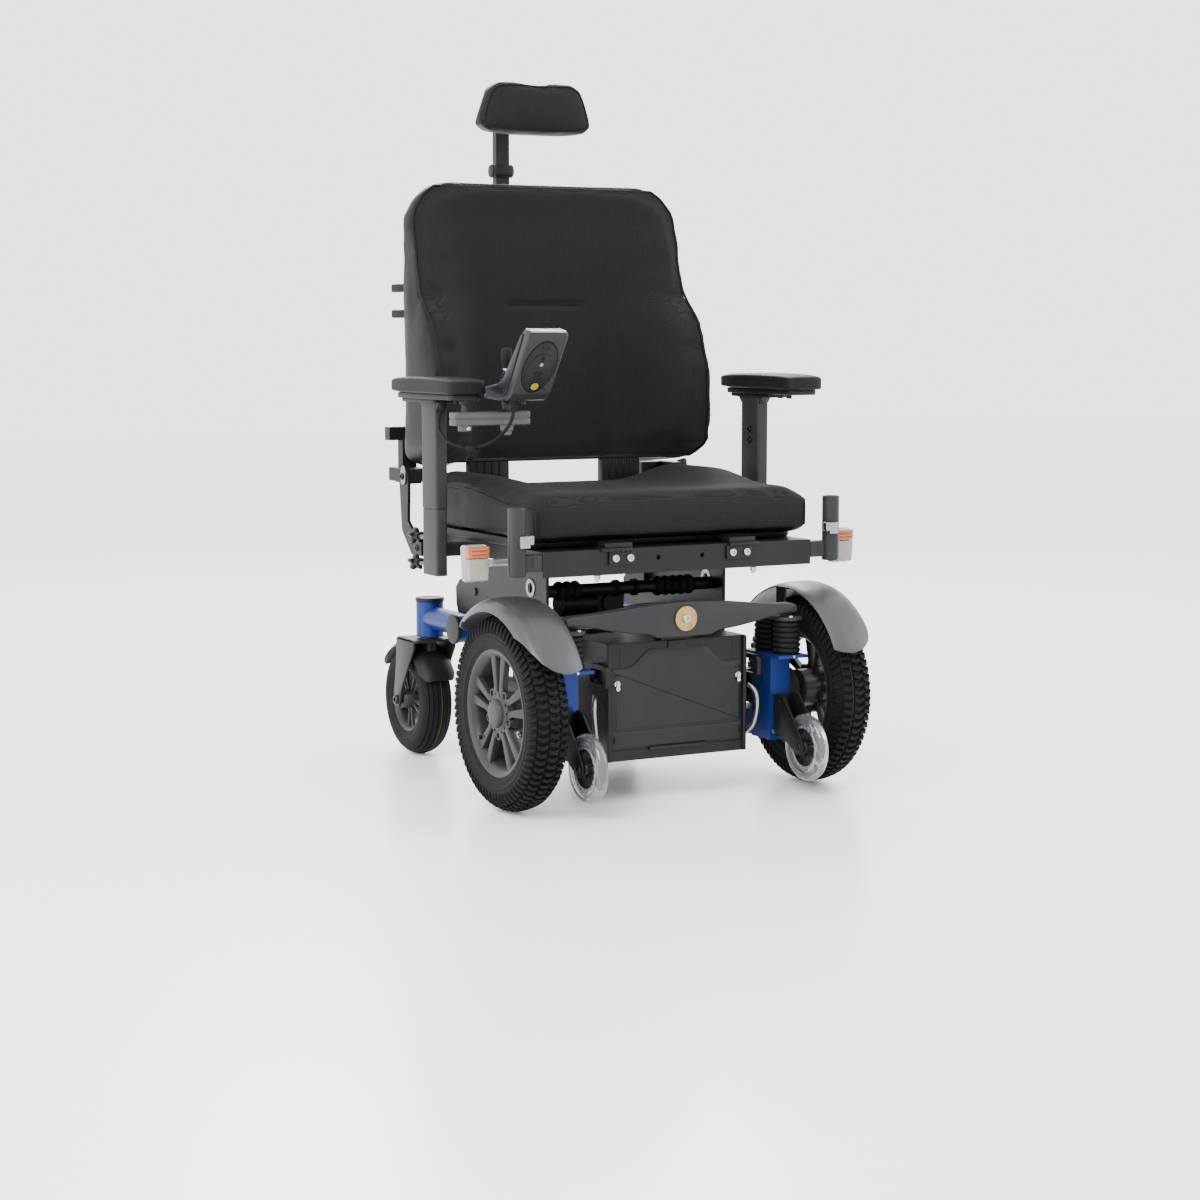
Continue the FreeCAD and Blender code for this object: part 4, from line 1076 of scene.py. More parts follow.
def add_bent_rod(mesh, spots, radius):
    """A round rod on a smooth line guided by a few spots."""
    curve = smooth_curve("rod", spots, 6)
    curve.bevel_depth = radius
    curve.bevel_resolution = 4
    curve.use_fill_caps = True
    holder = loose_object("rod", curve)
    data = frozen(holder)
    bpy.data.objects.remove(holder)
    mesh.from_mesh(data)
    bpy.data.meshes.remove(data)


def add_screw(mesh, spot, radius, height, axis="Y", outward=-1):
    """A socket screw: domed head with a hexagon recess, standing outward along an axis."""
    head = [(0.0, 0.0), (0.0, radius), (height * 0.6, radius), (height * 0.9, radius * 0.86),
            (height, radius * 0.62), (height * 0.999, radius * 0.48), (height * 0.35, radius * 0.42),
            (height * 0.35, 0.0)]
    return add_lathe(mesh, [(outward * step, size) for step, size in head], spot, axis, 24, closed=False)


# ------------------------------------------------------------ chassis

FENDER_ARCH = [(0.262, 0.1960), (0.272, 0.2003), (0.290, 0.2035), (0.315, 0.2045), (0.335, 0.2032),
               (0.348, 0.1990), (0.3555, 0.1920), (0.3600, 0.1815)]
FENDER_FRONT = [(0.262, 29), (0.278, 26.5), (0.300, 25.5), (0.322, 27.5), (0.340, 32), (0.352, 40),
                (0.360, 54)]
FENDER_REAR = [(0.262, 140), (0.300, 142), (0.330, 141), (0.348, 136), (0.360, 122)]


def straight(table, value):
    """Read a (place, size) table along straight lines."""
    for (low, first), (high, last) in zip(table, table[1:]):
        if value <= high:
            return first + (last - first) * max(value - low, 0.0) / (high - low)
    return table[-1][1]


def fender(name, side):
    """Domed cover over the drive wheel, cut back at its outer corners."""
    mesh = bmesh.new()

    def place(u, v):
        x = 0.262 + 0.098 * math.sin((u + 1) * math.pi / 4)
        front, rear = straight(FENDER_FRONT, x), straight(FENDER_REAR, x)
        turn = math.radians(front + (rear - front) * (v + 1) / 2)
        radius = straight(FENDER_ARCH, x)
        return Vector((side * x, AXLE_Y - radius * math.cos(turn), WHEEL_R + radius * math.sin(turn)))

    add_shell(mesh, place, (26, 64), 0.0028)
    for _ in range(2):
        bmesh.ops.smooth_vert(mesh, verts=mesh.verts, factor=0.35, use_axis_x=True, use_axis_y=True,
                              use_axis_z=True)
    piece(name + "_fender_dome", mesh, SILVER, name + "_arm", replaces=[name + "_fender"])
    stay = bmesh.new()
    inner, outer = sorted((side * 0.2565, side * 0.2605))
    add_block(stay, at(inner, -0.014, 0.250), at(outer, 0.018, 0.3745), 0.001, 1)
    inner, outer = sorted((side * 0.2570, side * 0.2880))
    add_block(stay, at(inner, -0.014, 0.3705), at(outer, 0.018, 0.3740), 0.001, 1)
    piece(name + "_fender_stay", stay, BLACK_COAT, name + "_arm")


def bellows_pair(name, side):
    """Two ribbed rubber columns on the post, under an oval grey plate."""
    low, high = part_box(name + "_bellows")
    x = (low.x + high.x) / 2
    rubber_mesh = bmesh.new()
    bottom, top = low.z, 0.3200
    for y in (-0.063, 0.003):
        profile = [(0.0, 0.0), (0.0, 0.0245)]
        for step in range(49):
            part = step / 48
            wave = abs(math.sin(math.pi * 6 * part)) ** 0.55
            profile.append((0.0025 + (top - bottom - 0.005) * part, 0.0218 + 0.0040 * wave))
        profile += [(top - bottom, 0.0235), (top - bottom, 0.0)]
        add_lathe(rubber_mesh, profile, at(x, y, bottom), "Z", 44, closed=False)
    piece(name + "_bellows_ribs", rubber_mesh, RUBBER, name + "_arm", replaces=[name + "_bellows"])

    plate = bmesh.new()
    outline = arc_points(x, AXLE_Y + 0.004, 0.0275, 0, 180, 14) + arc_points(x, AXLE_Y - 0.0645, 0.0275,
                                                                             180, 360, 14)
    add_prism(plate, outline, "XY", 0.3200, 0.0068, 0.0012, 2)
    piece(name + "_bellows_plate", plate, GREY_COAT, name + "_arm")
    screws = bmesh.new()
    add_screw(screws, at(x, 0.006, 0.3268), 0.0062, 0.0034, "Z", 1)
    add_screw(screws, at(x - side * 0.006, -0.0855, 0.3268), 0.0042, 0.0026, "Z", 1)
    piece(name + "_bellows_screws", screws, CHROME, name + "_arm")


def crossbar_casting():
    """Arched rocking bar with soft edges, its pivot screw seen through the brass washer."""
    half = [(0, 367), (30, 366.6), (60, 365), (110, 361), (155, 356), (200, 353), (232, 352), (241, 349),
            (243, 343), (243, 334), (200, 332), (160, 323), (110, 315), (74, 311), (66, 308), (55,
                                                                                               303.5), (0,
                                                                                                        303)]
    points = half + [(-a, b) for a, b in reversed(half[1:-1])]
    outline = [(a / 1000, b / 1000) for a, b in points]
    mesh = bmesh.new()
    add_prism(mesh, outline, "XZ", AXLE_Y - 0.078, 0.028, 0.0036, 3)
    piece("crossbar_casting", mesh, GREY_COAT, "crossbar", replaces=["crossbar"])
    rock = middle("crossbar_washer").z
    screw = bmesh.new()
    add_screw(screw, at(0, -0.0800, rock), 0.0082, 0.0052, "Y", -1)
    piece("crossbar_pivot_screw", screw, CHROME, "chassis")


def add_emboss(mesh, outline, start, slope, rise):
    """A raised field on a plate that faces forward, with sloping shoulders all round."""
    fresh = set(add_prism(mesh, outline, "XZ", start, -0.0006))
    front = min((face for face in mesh.faces if all(vert in fresh for vert in face.verts)),
                key=lambda face: face.calc_center_median().y)
    front.normal_update()
    bmesh.ops.inset_region(mesh, faces=[front], thickness=slope, depth=rise, use_even_offset=True)
    level = sum(vert.co.y for vert in front.verts) / len(front.verts)
    for vert in front.verts:
        vert.co.y = level
    bmesh.ops.triangulate(mesh, faces=[front])


def battery_front():
    """Steel box front with flanges, and the hinged cover with its raised field and lower step."""
    box = bmesh.new()
    add_block(box, at(-0.1465, -0.0485, 0.080), at(0.1465, -0.0465, 0.2945), 0.0006, 1)
    add_block(box, at(-0.1465, -0.0500, 0.0795), at(0.1465, -0.0480, 0.0990), 0.0006, 1)
    for _, side in SIDES:
        inner, outer = sorted((side * 0.1395, side * 0.1468))
        add_block(box, at(inner, -0.0545, 0.0795), at(outer, -0.0470, 0.2945), 0.0012, 2)
        inner, outer = sorted((side * 0.1180, side * 0.1205))
        add_block(box, at(inner, -0.0492, 0.252), at(outer, -0.0475, 0.2900), 0.0004, 1)
    add_block(box, at(-0.0200, -0.0510, 0.2600), at(0.0200, -0.0475, 0.2945), 0.0008, 1)
    piece("box_front_panel", box, BLACK_COAT, "chassis")

    cover = bmesh.new()
    shape = [(-0.138, 0.101), (0.138, 0.101), (0.138, 0.249), (0.098, 0.249), (0.060, 0.281),
             (-0.060, 0.281), (-0.098, 0.249), (-0.138, 0.249)]
    add_prism(cover, rounded_outline(shape, 0.006, 3), "XZ", AXLE_Y - 0.0490, -0.0012)
    field = [(-0.1372, 0.1335), (0.1372, 0.1335), (0.1372, 0.2480), (0.0975, 0.2480), (0.0595, 0.2800),
             (-0.0595, 0.2800), (-0.0975, 0.2480), (-0.1372, 0.2480)]
    add_emboss(cover, rounded_outline(field, 0.008, 4), AXLE_Y - 0.0500, 0.0075, 0.0030)
    step = [(-0.1366, 0.1020), (0.1366, 0.1020), (0.1366, 0.1325), (-0.1366, 0.1325)]
    add_emboss(cover, rounded_outline(step, 0.004, 3), AXLE_Y - 0.0500, 0.0030, 0.0012)
    add_rod(cover, at(0, -0.0530, 0.0985), 0.0030, 0.120, "X", 16, 0.0004)
    piece("battery_cover_panel", cover, COVER_PLASTIC, "battery_cover", smooth=False,
          replaces=["battery_cover"])
    # Dark blocks on the cover, painted as the shadow inside its hook slots.
    slots = bmesh.new()
    for _, side in SIDES:
        add_block(slots, at(side * 0.1325 - 0.0022, -0.0522, 0.1130),
                  at(side * 0.1325 + 0.0022, -0.0508, 0.1240),
                  0.0004, 1)
        add_block(slots, at(side * 0.127 - 0.006, -0.0538, 0.2360), at(side * 0.127 + 0.006, -0.0530, 0.2385),
                  0.0003, 1)
    piece("cover_hook_slot_shadows", slots, SHADOW, "battery_cover")


def quarter_turn(name, side):
    """Chrome turn latch: round base, waist and a small wing."""
    place = middle(name + "_cover_latch")
    x, z = place.x, 0.2220
    mesh = bmesh.new()
    base = [(0.0, 0.0), (0.0, 0.0062), (0.0008, 0.0064), (0.0018, 0.0058), (0.0022, 0.0030), (0.0034, 0.0026),
            (0.0040, 0.0)]
    add_lathe(mesh, [(-step, size) for step, size in base], at(x, -0.0534, z), "Y", 28, closed=False)
    wing = arc_points(x, z - 0.0085, 0.0042, 150, 390, 12) + [(x + 0.0016, z + 0.0010),
                                                              (x + 0.0020, z + 0.0050),
                                                             (x - 0.0020, z + 0.0050), (x - 0.0016,
                                                                                        z + 0.0010)]
    add_prism(mesh, wing, "XZ", AXLE_Y - 0.0585, 0.0022, 0.0005, 2)
    piece(name + "_quarter_turn", mesh, CHROME, name + "_latch", replaces=[name + "_cover_latch"])


def chassis_details():
    """Brake levers, plate inserts, gaiter on the cross tube and screws on the arm posts."""
    levers = bmesh.new()
    for _, side in SIDES:
        line = [at(side * 0.163, -0.034, 0.200), at(side * 0.171, -0.047, 0.192),
                at(side * 0.174, -0.051, 0.165),
                at(side * 0.170, -0.050, 0.135), at(side * 0.164, -0.044, 0.116), at(side * 0.155, -0.036,
                                                                                     0.110)]
        add_bent_rod(levers, line, 0.0042)
    piece("brake_levers", levers, LEVER_STEEL, "chassis")

    rings, discs = bmesh.new(), bmesh.new()
    for _, side in SIDES:
        spot = at(side * 0.1905, 0.161, 0.380)
        ring = [(-0.0040, 0.0095), (-0.0040, 0.0175), (0.0040, 0.0175), (0.0046, 0.0165), (0.0046, 0.0105),
                (0.0040, 0.0095)]
        add_lathe(rings, [(side * step, size) for step, size in ring], spot, "X", 40)
        add_rod(discs, spot, 0.0096, 0.0050, "X", 24, 0.0005)
        add_block(discs, spot + Vector((-0.0054, -0.0020, -0.0090)),
                  spot + Vector((0.0054, 0.0020, 0.0090)), 0.0004, 1)
    piece("plate_bushes", rings, STEEL, "chassis")
    piece("plate_bush_cores", discs, BLACK_STEEL, "chassis")

    low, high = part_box("module_cross_tube")
    centre = (low + high) / 2
    radius = (high.z - low.z) / 2
    sleeve = bmesh.new()
    for first, ribs in ((0.062, 5), (-0.150, 3)):
        profile = [(0.0, radius * 0.96)]
        for step in range(ribs * 8 + 1):
            profile.append((0.0005 + 0.017 * step / 8,
                            radius + 0.0015 + 0.0055 * abs(math.sin(math.pi * step / 8)) ** 0.7))
        profile.append((0.0010 + 0.017 * ribs, radius * 0.96))
        add_lathe(sleeve, profile, centre + Vector((first, 0, 0)), "X", 36)
    for x in (-0.020, 0.020):
        add_lathe(sleeve, [(-0.004, radius * 0.96), (-0.004, radius + 0.004), (0.004, radius + 0.004),
                           (0.004, radius * 0.96)], centre + Vector((x, 0, 0)), "X", 36)
    piece("cross_tube_gaiter", sleeve, RUBBER, "chassis")

    for name, side in SIDES:
        part = bmesh.new()
        add_screw(part, at(side * 0.2120, -0.047, 0.108), 0.0045, 0.0032, "Y", -1)
        add_screw(part, at(side * 0.2280, -0.090, 0.2530), 0.0030, 0.0020, "Y", -1)
        add_screw(part, at(side * 0.2470, 0.100, 0.117), 0.0065, 0.0040, "X", side)
        piece(name + "_post_screws", part, CHROME, name + "_arm")


def tip_fork_plates(name, side):
    """Two folded black plates that carry the clear wheel, with an axle bolt."""
    low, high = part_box(name + "_anti_tip_tyre")
    hub = (low + high) / 2
    y, z = hub.y - AXLE_Y, hub.z
    outline = [(-0.052, 0.104), (-0.052, 0.178), (-0.060, 0.183), (-0.078, 0.181), (-0.118, 0.138),
               (y - 0.013, z + 0.010), (y - 0.015, z - 0.002), (y - 0.009, z - 0.013), (y + 0.004, z - 0.014),
               (-0.092, 0.096)]
    shape = rounded_outline([(a + AXLE_Y, b) for a, b in outline], 0.008, 4)
    mesh = bmesh.new()
    for offset in (-0.0196, 0.0160):
        add_prism(mesh, shape, "YZ", hub.x + offset, 0.0036, 0.0009, 2)
    add_block(mesh, at(hub.x - 0.019, -0.0520, 0.108), at(hub.x + 0.019, -0.0475, 0.178), 0.0010, 2)
    piece(name + "_tip_fork_plates", mesh, BLACK_COAT, name + "_arm",
          replaces=[name + "_anti_tip_fork"])
    bolts = bmesh.new()
    for hand in (-1, 1):
        spot = hub + Vector((hand * 0.0196, 0, 0))
        add_lathe(bolts, [(hand * step, size) for step, size in ((0.0, 0.0), (0.0, 0.0082),
                                                                 (0.0010, 0.0086), (0.0020, 0.0078))] +
                  [(hand * 0.0022, 0.0)], spot, "X", 28, closed=False)
        add_screw(bolts, spot + Vector((hand * 0.0015, 0, 0)), 0.0058, 0.0030, "X", hand)
        add_screw(bolts, at(hub.x + hand * 0.0196, -0.066, 0.168), 0.0042, 0.0022, "X", hand)
    add_rod(bolts, hub, 0.0042, 0.0380, "X", 20)
    piece(name + "_tip_axle_bolt", bolts, BLACK_STEEL, name + "_arm")


# ------------------------------------------------------------ rear beam and casters

def rear_beam_tubes():
    """Round blue tubes welded to the swivel heads."""
    mesh = bmesh.new()
    z = 0.285
    add_rod(mesh, at(0, 0.360, z), 0.0270, 0.510, "X", 56, 0.0010)
    for _, side in SIDES:
        head = at(side * 0.216, 0.562, 0.282)
        add_rod(mesh, at(side * 0.216, 0.456, z), 0.0228, 0.192, "Y", 48)
        barrel = [(-0.036, 0.0125), (-0.036, 0.0262), (-0.0345, 0.0275), (0.0345, 0.0275), (0.036, 0.0262),
                  (0.036, 0.0)]
        add_lathe(mesh, barrel, head, "Z", 56, closed=False)
        bead = [(-0.0012, 0.0228), (0.0016, 0.0252), (0.0046, 0.0238), (0.0060, 0.0228)]
        add_lathe(mesh, [(step, size) for step, size in bead], at(side * 0.216, 0.386, z), "Y", 48,
                  closed=True)
    piece("rear_beam_tubes", mesh, BLUE_COAT, "chassis", replaces=["rear_beam"])
    caps = bmesh.new()
    for _, side in SIDES:
        dome = [(0.0, 0.0), (0.0, 0.0290), (0.0050, 0.0290), (0.0066, 0.0278), (0.0070, 0.0250),
                (0.0070, 0.0)]
        add_lathe(caps, [(side * step, size) for step, size in dome], at(side * 0.255, 0.360, z), "X", 56,
                  closed=False)
        add_lathe(caps, dome, at(side * 0.216, 0.562, 0.318), "Z", 56, closed=False)
    piece("beam_end_caps", caps, BLACK_PLASTIC, "chassis", replaces=["beam_caps"])


def caster_fork(name, side):
    """Swivelling fork: stem, crown and two legs, with a dark guard over the tyre."""
    x, y, z = side * 0.216, 0.622, 0.1125
    mesh = bmesh.new()
    leg = [(0.5400, 0.2420), (0.5400, 0.2240), (0.5640, 0.1900), (0.6030, 0.1330), (0.6075, 0.1125),
           (0.6120, 0.1010), (0.6220, 0.0970), (0.6320, 0.1010), (0.6370, 0.1125), (0.6350, 0.1400),
           (0.6260, 0.1950), (0.6240, 0.2420)]
    shape = rounded_outline([(a + AXLE_Y, b) for a, b in leg], 0.007, 4)
    for hand in (-1, 1):
        start = x + (0.0420 if hand > 0 else -0.0470)
        add_prism(mesh, shape, "YZ", start, 0.0050, 0.0012, 2)
    crown = rounded_outline([(x - 0.047, 0.5345 + AXLE_Y), (x + 0.047, 0.5345 + AXLE_Y),
                             (x + 0.047, 0.6238 + AXLE_Y),
                             (x - 0.047, 0.6238 + AXLE_Y)], 0.010, 4)
    add_prism(mesh, crown, "XY", 0.2362, 0.0058, 0.0014, 2)
    stem = [(-0.006, 0.0), (-0.006, 0.0185), (0.0, 0.0190), (0.0035, 0.0185), (0.0042, 0.0119),
            (0.055, 0.0119),
            (0.055, 0.0)]
    add_lathe(mesh, stem, at(x, 0.562, 0.2420), "Z", 36, closed=False)
    piece(name + "_caster_fork_legs", mesh, GREY_COAT, name + "_caster",
          replaces=[name + "_caster_fork"])

    guard = bmesh.new()
    centre = at(x, y, z)

    def place(u, v):
        across = 0.0398 * math.sin(u * math.pi / 2)
        radius = 0.1236 - 0.0150 * abs(across / 0.0398) ** 2.6
        front = 24 + 9 * smooth(abs(u), 0.45, 0.9)
        rear = 150 - 14 * smooth(abs(u), 0.4, 1.0)
        turn = math.radians(front + (rear - front) * (v + 1) / 2)
        return centre + Vector((across, -radius * math.cos(turn), radius * math.sin(turn)))

    add_shell(guard, place, (22, 44), 0.0026)
    pad = at(x, 0.562, 0.2290)
    add_lathe(guard, [(0.0, 0.0), (-0.012, 0.013), (0.0068, 0.0135), (0.0068, 0.0)], pad, "Z", 24,
              closed=False)
    piece(name + "_caster_guard", guard, BLACK_PLASTIC, name + "_caster")

    bolts = bmesh.new()
    for hand in (-1, 1):
        add_screw(bolts, centre + Vector((hand * 0.047, 0, 0)), 0.0095, 0.0060, "X", hand)
    add_rod(bolts, centre, 0.0079, 0.0930, "X", 24)
    piece(name + "_caster_axle", bolts, BLACK_STEEL, name + "_caster")


# ------------------------------------------------------------ seat frame, lamps and armrests

def seat_details():
    """Rail brackets and bolts, under-cushion board, brackets at the back of the seat."""
    plates, bolts = bmesh.new(), bmesh.new()
    for _, side in SIDES:
        near, far = sorted((side * 0.096, side * 0.150))
        add_block(plates, at(near, -0.0650, 0.4390), at(far, -0.0600, 0.4640), 0.0012, 2)
        near, far = sorted((side * 0.102, side * 0.166))
        add_block(plates, at(near, -0.0670, 0.4640), at(far, -0.0330, 0.4700), 0.0012, 2)
        near, far = sorted((side * 0.102, side * 0.158))
        add_block(plates, at(near, -0.0640, 0.4700), at(far, -0.0300, 0.4790), 0.0016, 2)
        for x in (0.104, 0.114, 0.124, 0.134, 0.144):
            add_block(plates, at(side * x - 0.0022, -0.0672, 0.4616),
                      at(side * x + 0.0022, -0.0640, 0.4650), 0.0005, 1)
        for x in (0.108, 0.138):
            add_screw(bolts, at(side * x, -0.0650, 0.4515), 0.0074, 0.0044, "Y", -1)
        add_rod(bolts, at(side * 0.165, -0.0460, 0.4180), 0.0062, 0.0080, "Z", 6, 0.0006)
        add_rod(bolts, at(side * 0.165, -0.0460, 0.4120), 0.0040, 0.0060, "Z", 16, 0.0006)
    piece("rail_bracket_plates", plates, BLACK_COAT, "seat")
    piece("rail_bracket_bolts", bolts, CHROME, "seat", replaces=["rail_bolts"])

    board = bmesh.new()
    outline = rounded_outline([(-0.286, 0.010 + AXLE_Y), (0.286, 0.010 + AXLE_Y), (0.286, 0.412 + AXLE_Y),
                               (-0.286, 0.412 + AXLE_Y)], 0.02, 5)
    add_prism(board, outline, "XY", 0.4686, 0.0160, 0.003, 2)
    for _, side in SIDES:
        near, far = sorted((side * 0.104, side * 0.190))
        shape = rounded_outline([(near, 0.5000), (far, 0.5000), (far, 0.6080), (near, 0.6080)], 0.012, 5)
        add_prism(board, shape, "XZ", AXLE_Y + 0.4270, 0.0200, 0.0015, 2)
        for step in range(4):
            x = near + 0.018 + step * 0.016
            add_block(board, at(x - 0.0025, 0.4245, 0.5620), at(x + 0.0025, 0.4280, 0.6030), 0.0008, 1)
        near, far = sorted((side * 0.120, side * 0.172))
        add_block(board, at(near, 0.4100, 0.4680), at(far, 0.4460, 0.5040), 0.003, 2)
    piece("seat_board_and_brackets", board, BLACK_PLASTIC, "seat")

    hardware = bmesh.new()
    for _, side in SIDES:
        spot = at(side * 0.3145, 0.462, 0.575)
        oval = arc_points(spot.y, spot.z + 0.010, 0.0105, 0, 180, 10) + arc_points(spot.y, spot.z - 0.006,
                                                                                   0.0105, 180, 360, 10)
        add_prism(hardware, oval, "YZ", spot.x - (0.0030 if side < 0 else 0.0), 0.0030, 0.0009, 2)
    piece("recline_caps", hardware, STEEL, "seat")
    screws = bmesh.new()
    for _, side in SIDES:
        add_screw(screws, at(side * 0.3172, 0.462, 0.575), 0.0068, 0.0050, "X", side)
        add_screw(screws, at(side * 0.3135, 0.430, 0.452), 0.0060, 0.0040, "X", side)
        add_screw(screws, at(side * 0.3135, 0.405, 0.440), 0.0060, 0.0040, "X", side)
    piece("hinge_bracket_screws", screws, BLACK_STEEL, "seat")


def receiver(name, side):
    """Open tube for a leg rest, with a spring clip and a link to the front rail."""
    spot = at(side * 0.330, -0.055, 0.0)
    tube = bmesh.new()
    wall = [(0.4270, 0.0), (0.4270, 0.0145), (0.4285, 0.0160), (0.5468, 0.0160), (0.5480, 0.0150),
            (0.5480, 0.0128), (0.5470, 0.0120), (0.4405, 0.0120), (0.4400, 0.0)]
    add_lathe(tube, wall, spot, "Z", 48, closed=False)
    near, far = sorted((side * 0.2825, side * 0.3180))
    add_block(tube, at(near, -0.0600, 0.4340), at(far, -0.0380, 0.4640), 0.0020, 2)
    add_block(tube, at(side * 0.3000 - 0.0015, -0.0612, 0.4420),
              at(side * 0.3000 + 0.0015, -0.0598, 0.4580), 0.0004, 1)
    clip = bmesh.new()
    near, far = sorted((side * 0.3330, side * 0.3140))
    add_block(clip, at(near, -0.0770, 0.4780), at(far, -0.0690, 0.4990), 0.0010, 2)
    near, far = sorted((side * 0.3150, side * 0.3060))
    add_block(clip, at(near, -0.0780, 0.4830), at(far, -0.0640, 0.5000), 0.0030, 3)
    return tube, clip


def receivers():
    tubes, clips = bmesh.new(), bmesh.new()
    for name, side in SIDES:
        for whole, part in zip((tubes, clips), receiver(name, side)):
            spare = bpy.data.meshes.new("part")
            part.to_mesh(spare)
            part.free()
            whole.from_mesh(spare)
            bpy.data.meshes.remove(spare)
    piece("legrest_tubes", tubes, GREY_COAT, "seat", replaces=["legrest_receivers"])
    piece("legrest_clips", clips, STEEL, "seat")


def lamps():
    """Wedge-shaped lamps: silver back shell, amber top, clear lower lens over a pale board."""
    shells, amber, clear, boards, dots = (bmesh.new() for _ in range(5))
    for _, side in SIDES:
        x = side * 0.386

        def outline(low, top, half_low, half_top, radius):
            corners = [(x - half_low, low), (x + half_low, low), (x + half_top, top), (x - half_top, top)]
            return rounded_outline(corners, radius, 5)

        back = outline(0.4155, 0.4815, 0.0205, 0.0238, 0.007)
        add_prism(shells, back, "XZ", AXLE_Y - 0.0075, 0.0190, 0.0045, 4)
        near, far = sorted((side * 0.2825, side * 0.3640))
        add_block(shells, at(near, -0.0070, 0.4420), at(far, 0.0050, 0.4540), 0.0020, 2)
        add_prism(amber, outline(0.4585, 0.4790, 0.0208, 0.0215, 0.0035), "XZ", AXLE_Y - 0.0200, 0.0150,
                  0.0028, 3)
        add_prism(clear, outline(0.4185, 0.4580, 0.0180, 0.0208, 0.0035), "XZ", AXLE_Y - 0.0200, 0.0150,
                  0.0028, 3)
        add_prism(boards, outline(0.4215, 0.4560, 0.0150, 0.0175, 0.0020), "XZ", AXLE_Y - 0.0125, 0.0040,
                  0.0006, 1)
        for row in range(3):
            for column in range(3):
                spot = at(x + (column - 1) * 0.0095, -0.0130, 0.4285 + row * 0.0100)
                add_rod(dots, spot, 0.0012, 0.0012, "Y", 10, 0.0002)
        for row in range(2):
            add_block(dots, at(x - 0.0150, -0.0212, 0.4640 + row * 0.0070),
                      at(x + 0.0150, -0.0204, 0.4652 + row * 0.0070),
                      0.0002, 1)
    piece("lamp_shells", shells, LAMP_SILVER, "seat", replaces=["lamp_housings"])
    piece("lamp_amber_lenses", amber, AMBER, "seat", replaces=["lamp_lenses"])
    piece("lamp_clear_lenses", clear, CLEAR, "seat")
    piece("lamp_boards", boards, LAMP_BOARD, "seat")
    piece("lamp_dots", dots, BRASS_DOT, "seat", smooth=False)


def pad_place(side):
    """Armrest pad: boat-shaped from the side, narrower and lower at its ends."""
    def place(u, v, w):
        half = 0.0408 * (1 - 0.10 * abs(v) ** 6)
        reach = 0.1358 * (1 - 0.05 * u ** 4)
        top = 0.7728 - 0.0025 * v * v - 0.0030 * abs(v) ** 7 - 0.0025 * u ** 4
        low = 0.7420 + 0.0010 * u ** 4 + 0.0030 * max(v, 0.0) ** 4
        return at(side * 0.360 + half * u, 0.206 + reach * v, low + (top - low) * (w + 1) / 2)
    return place


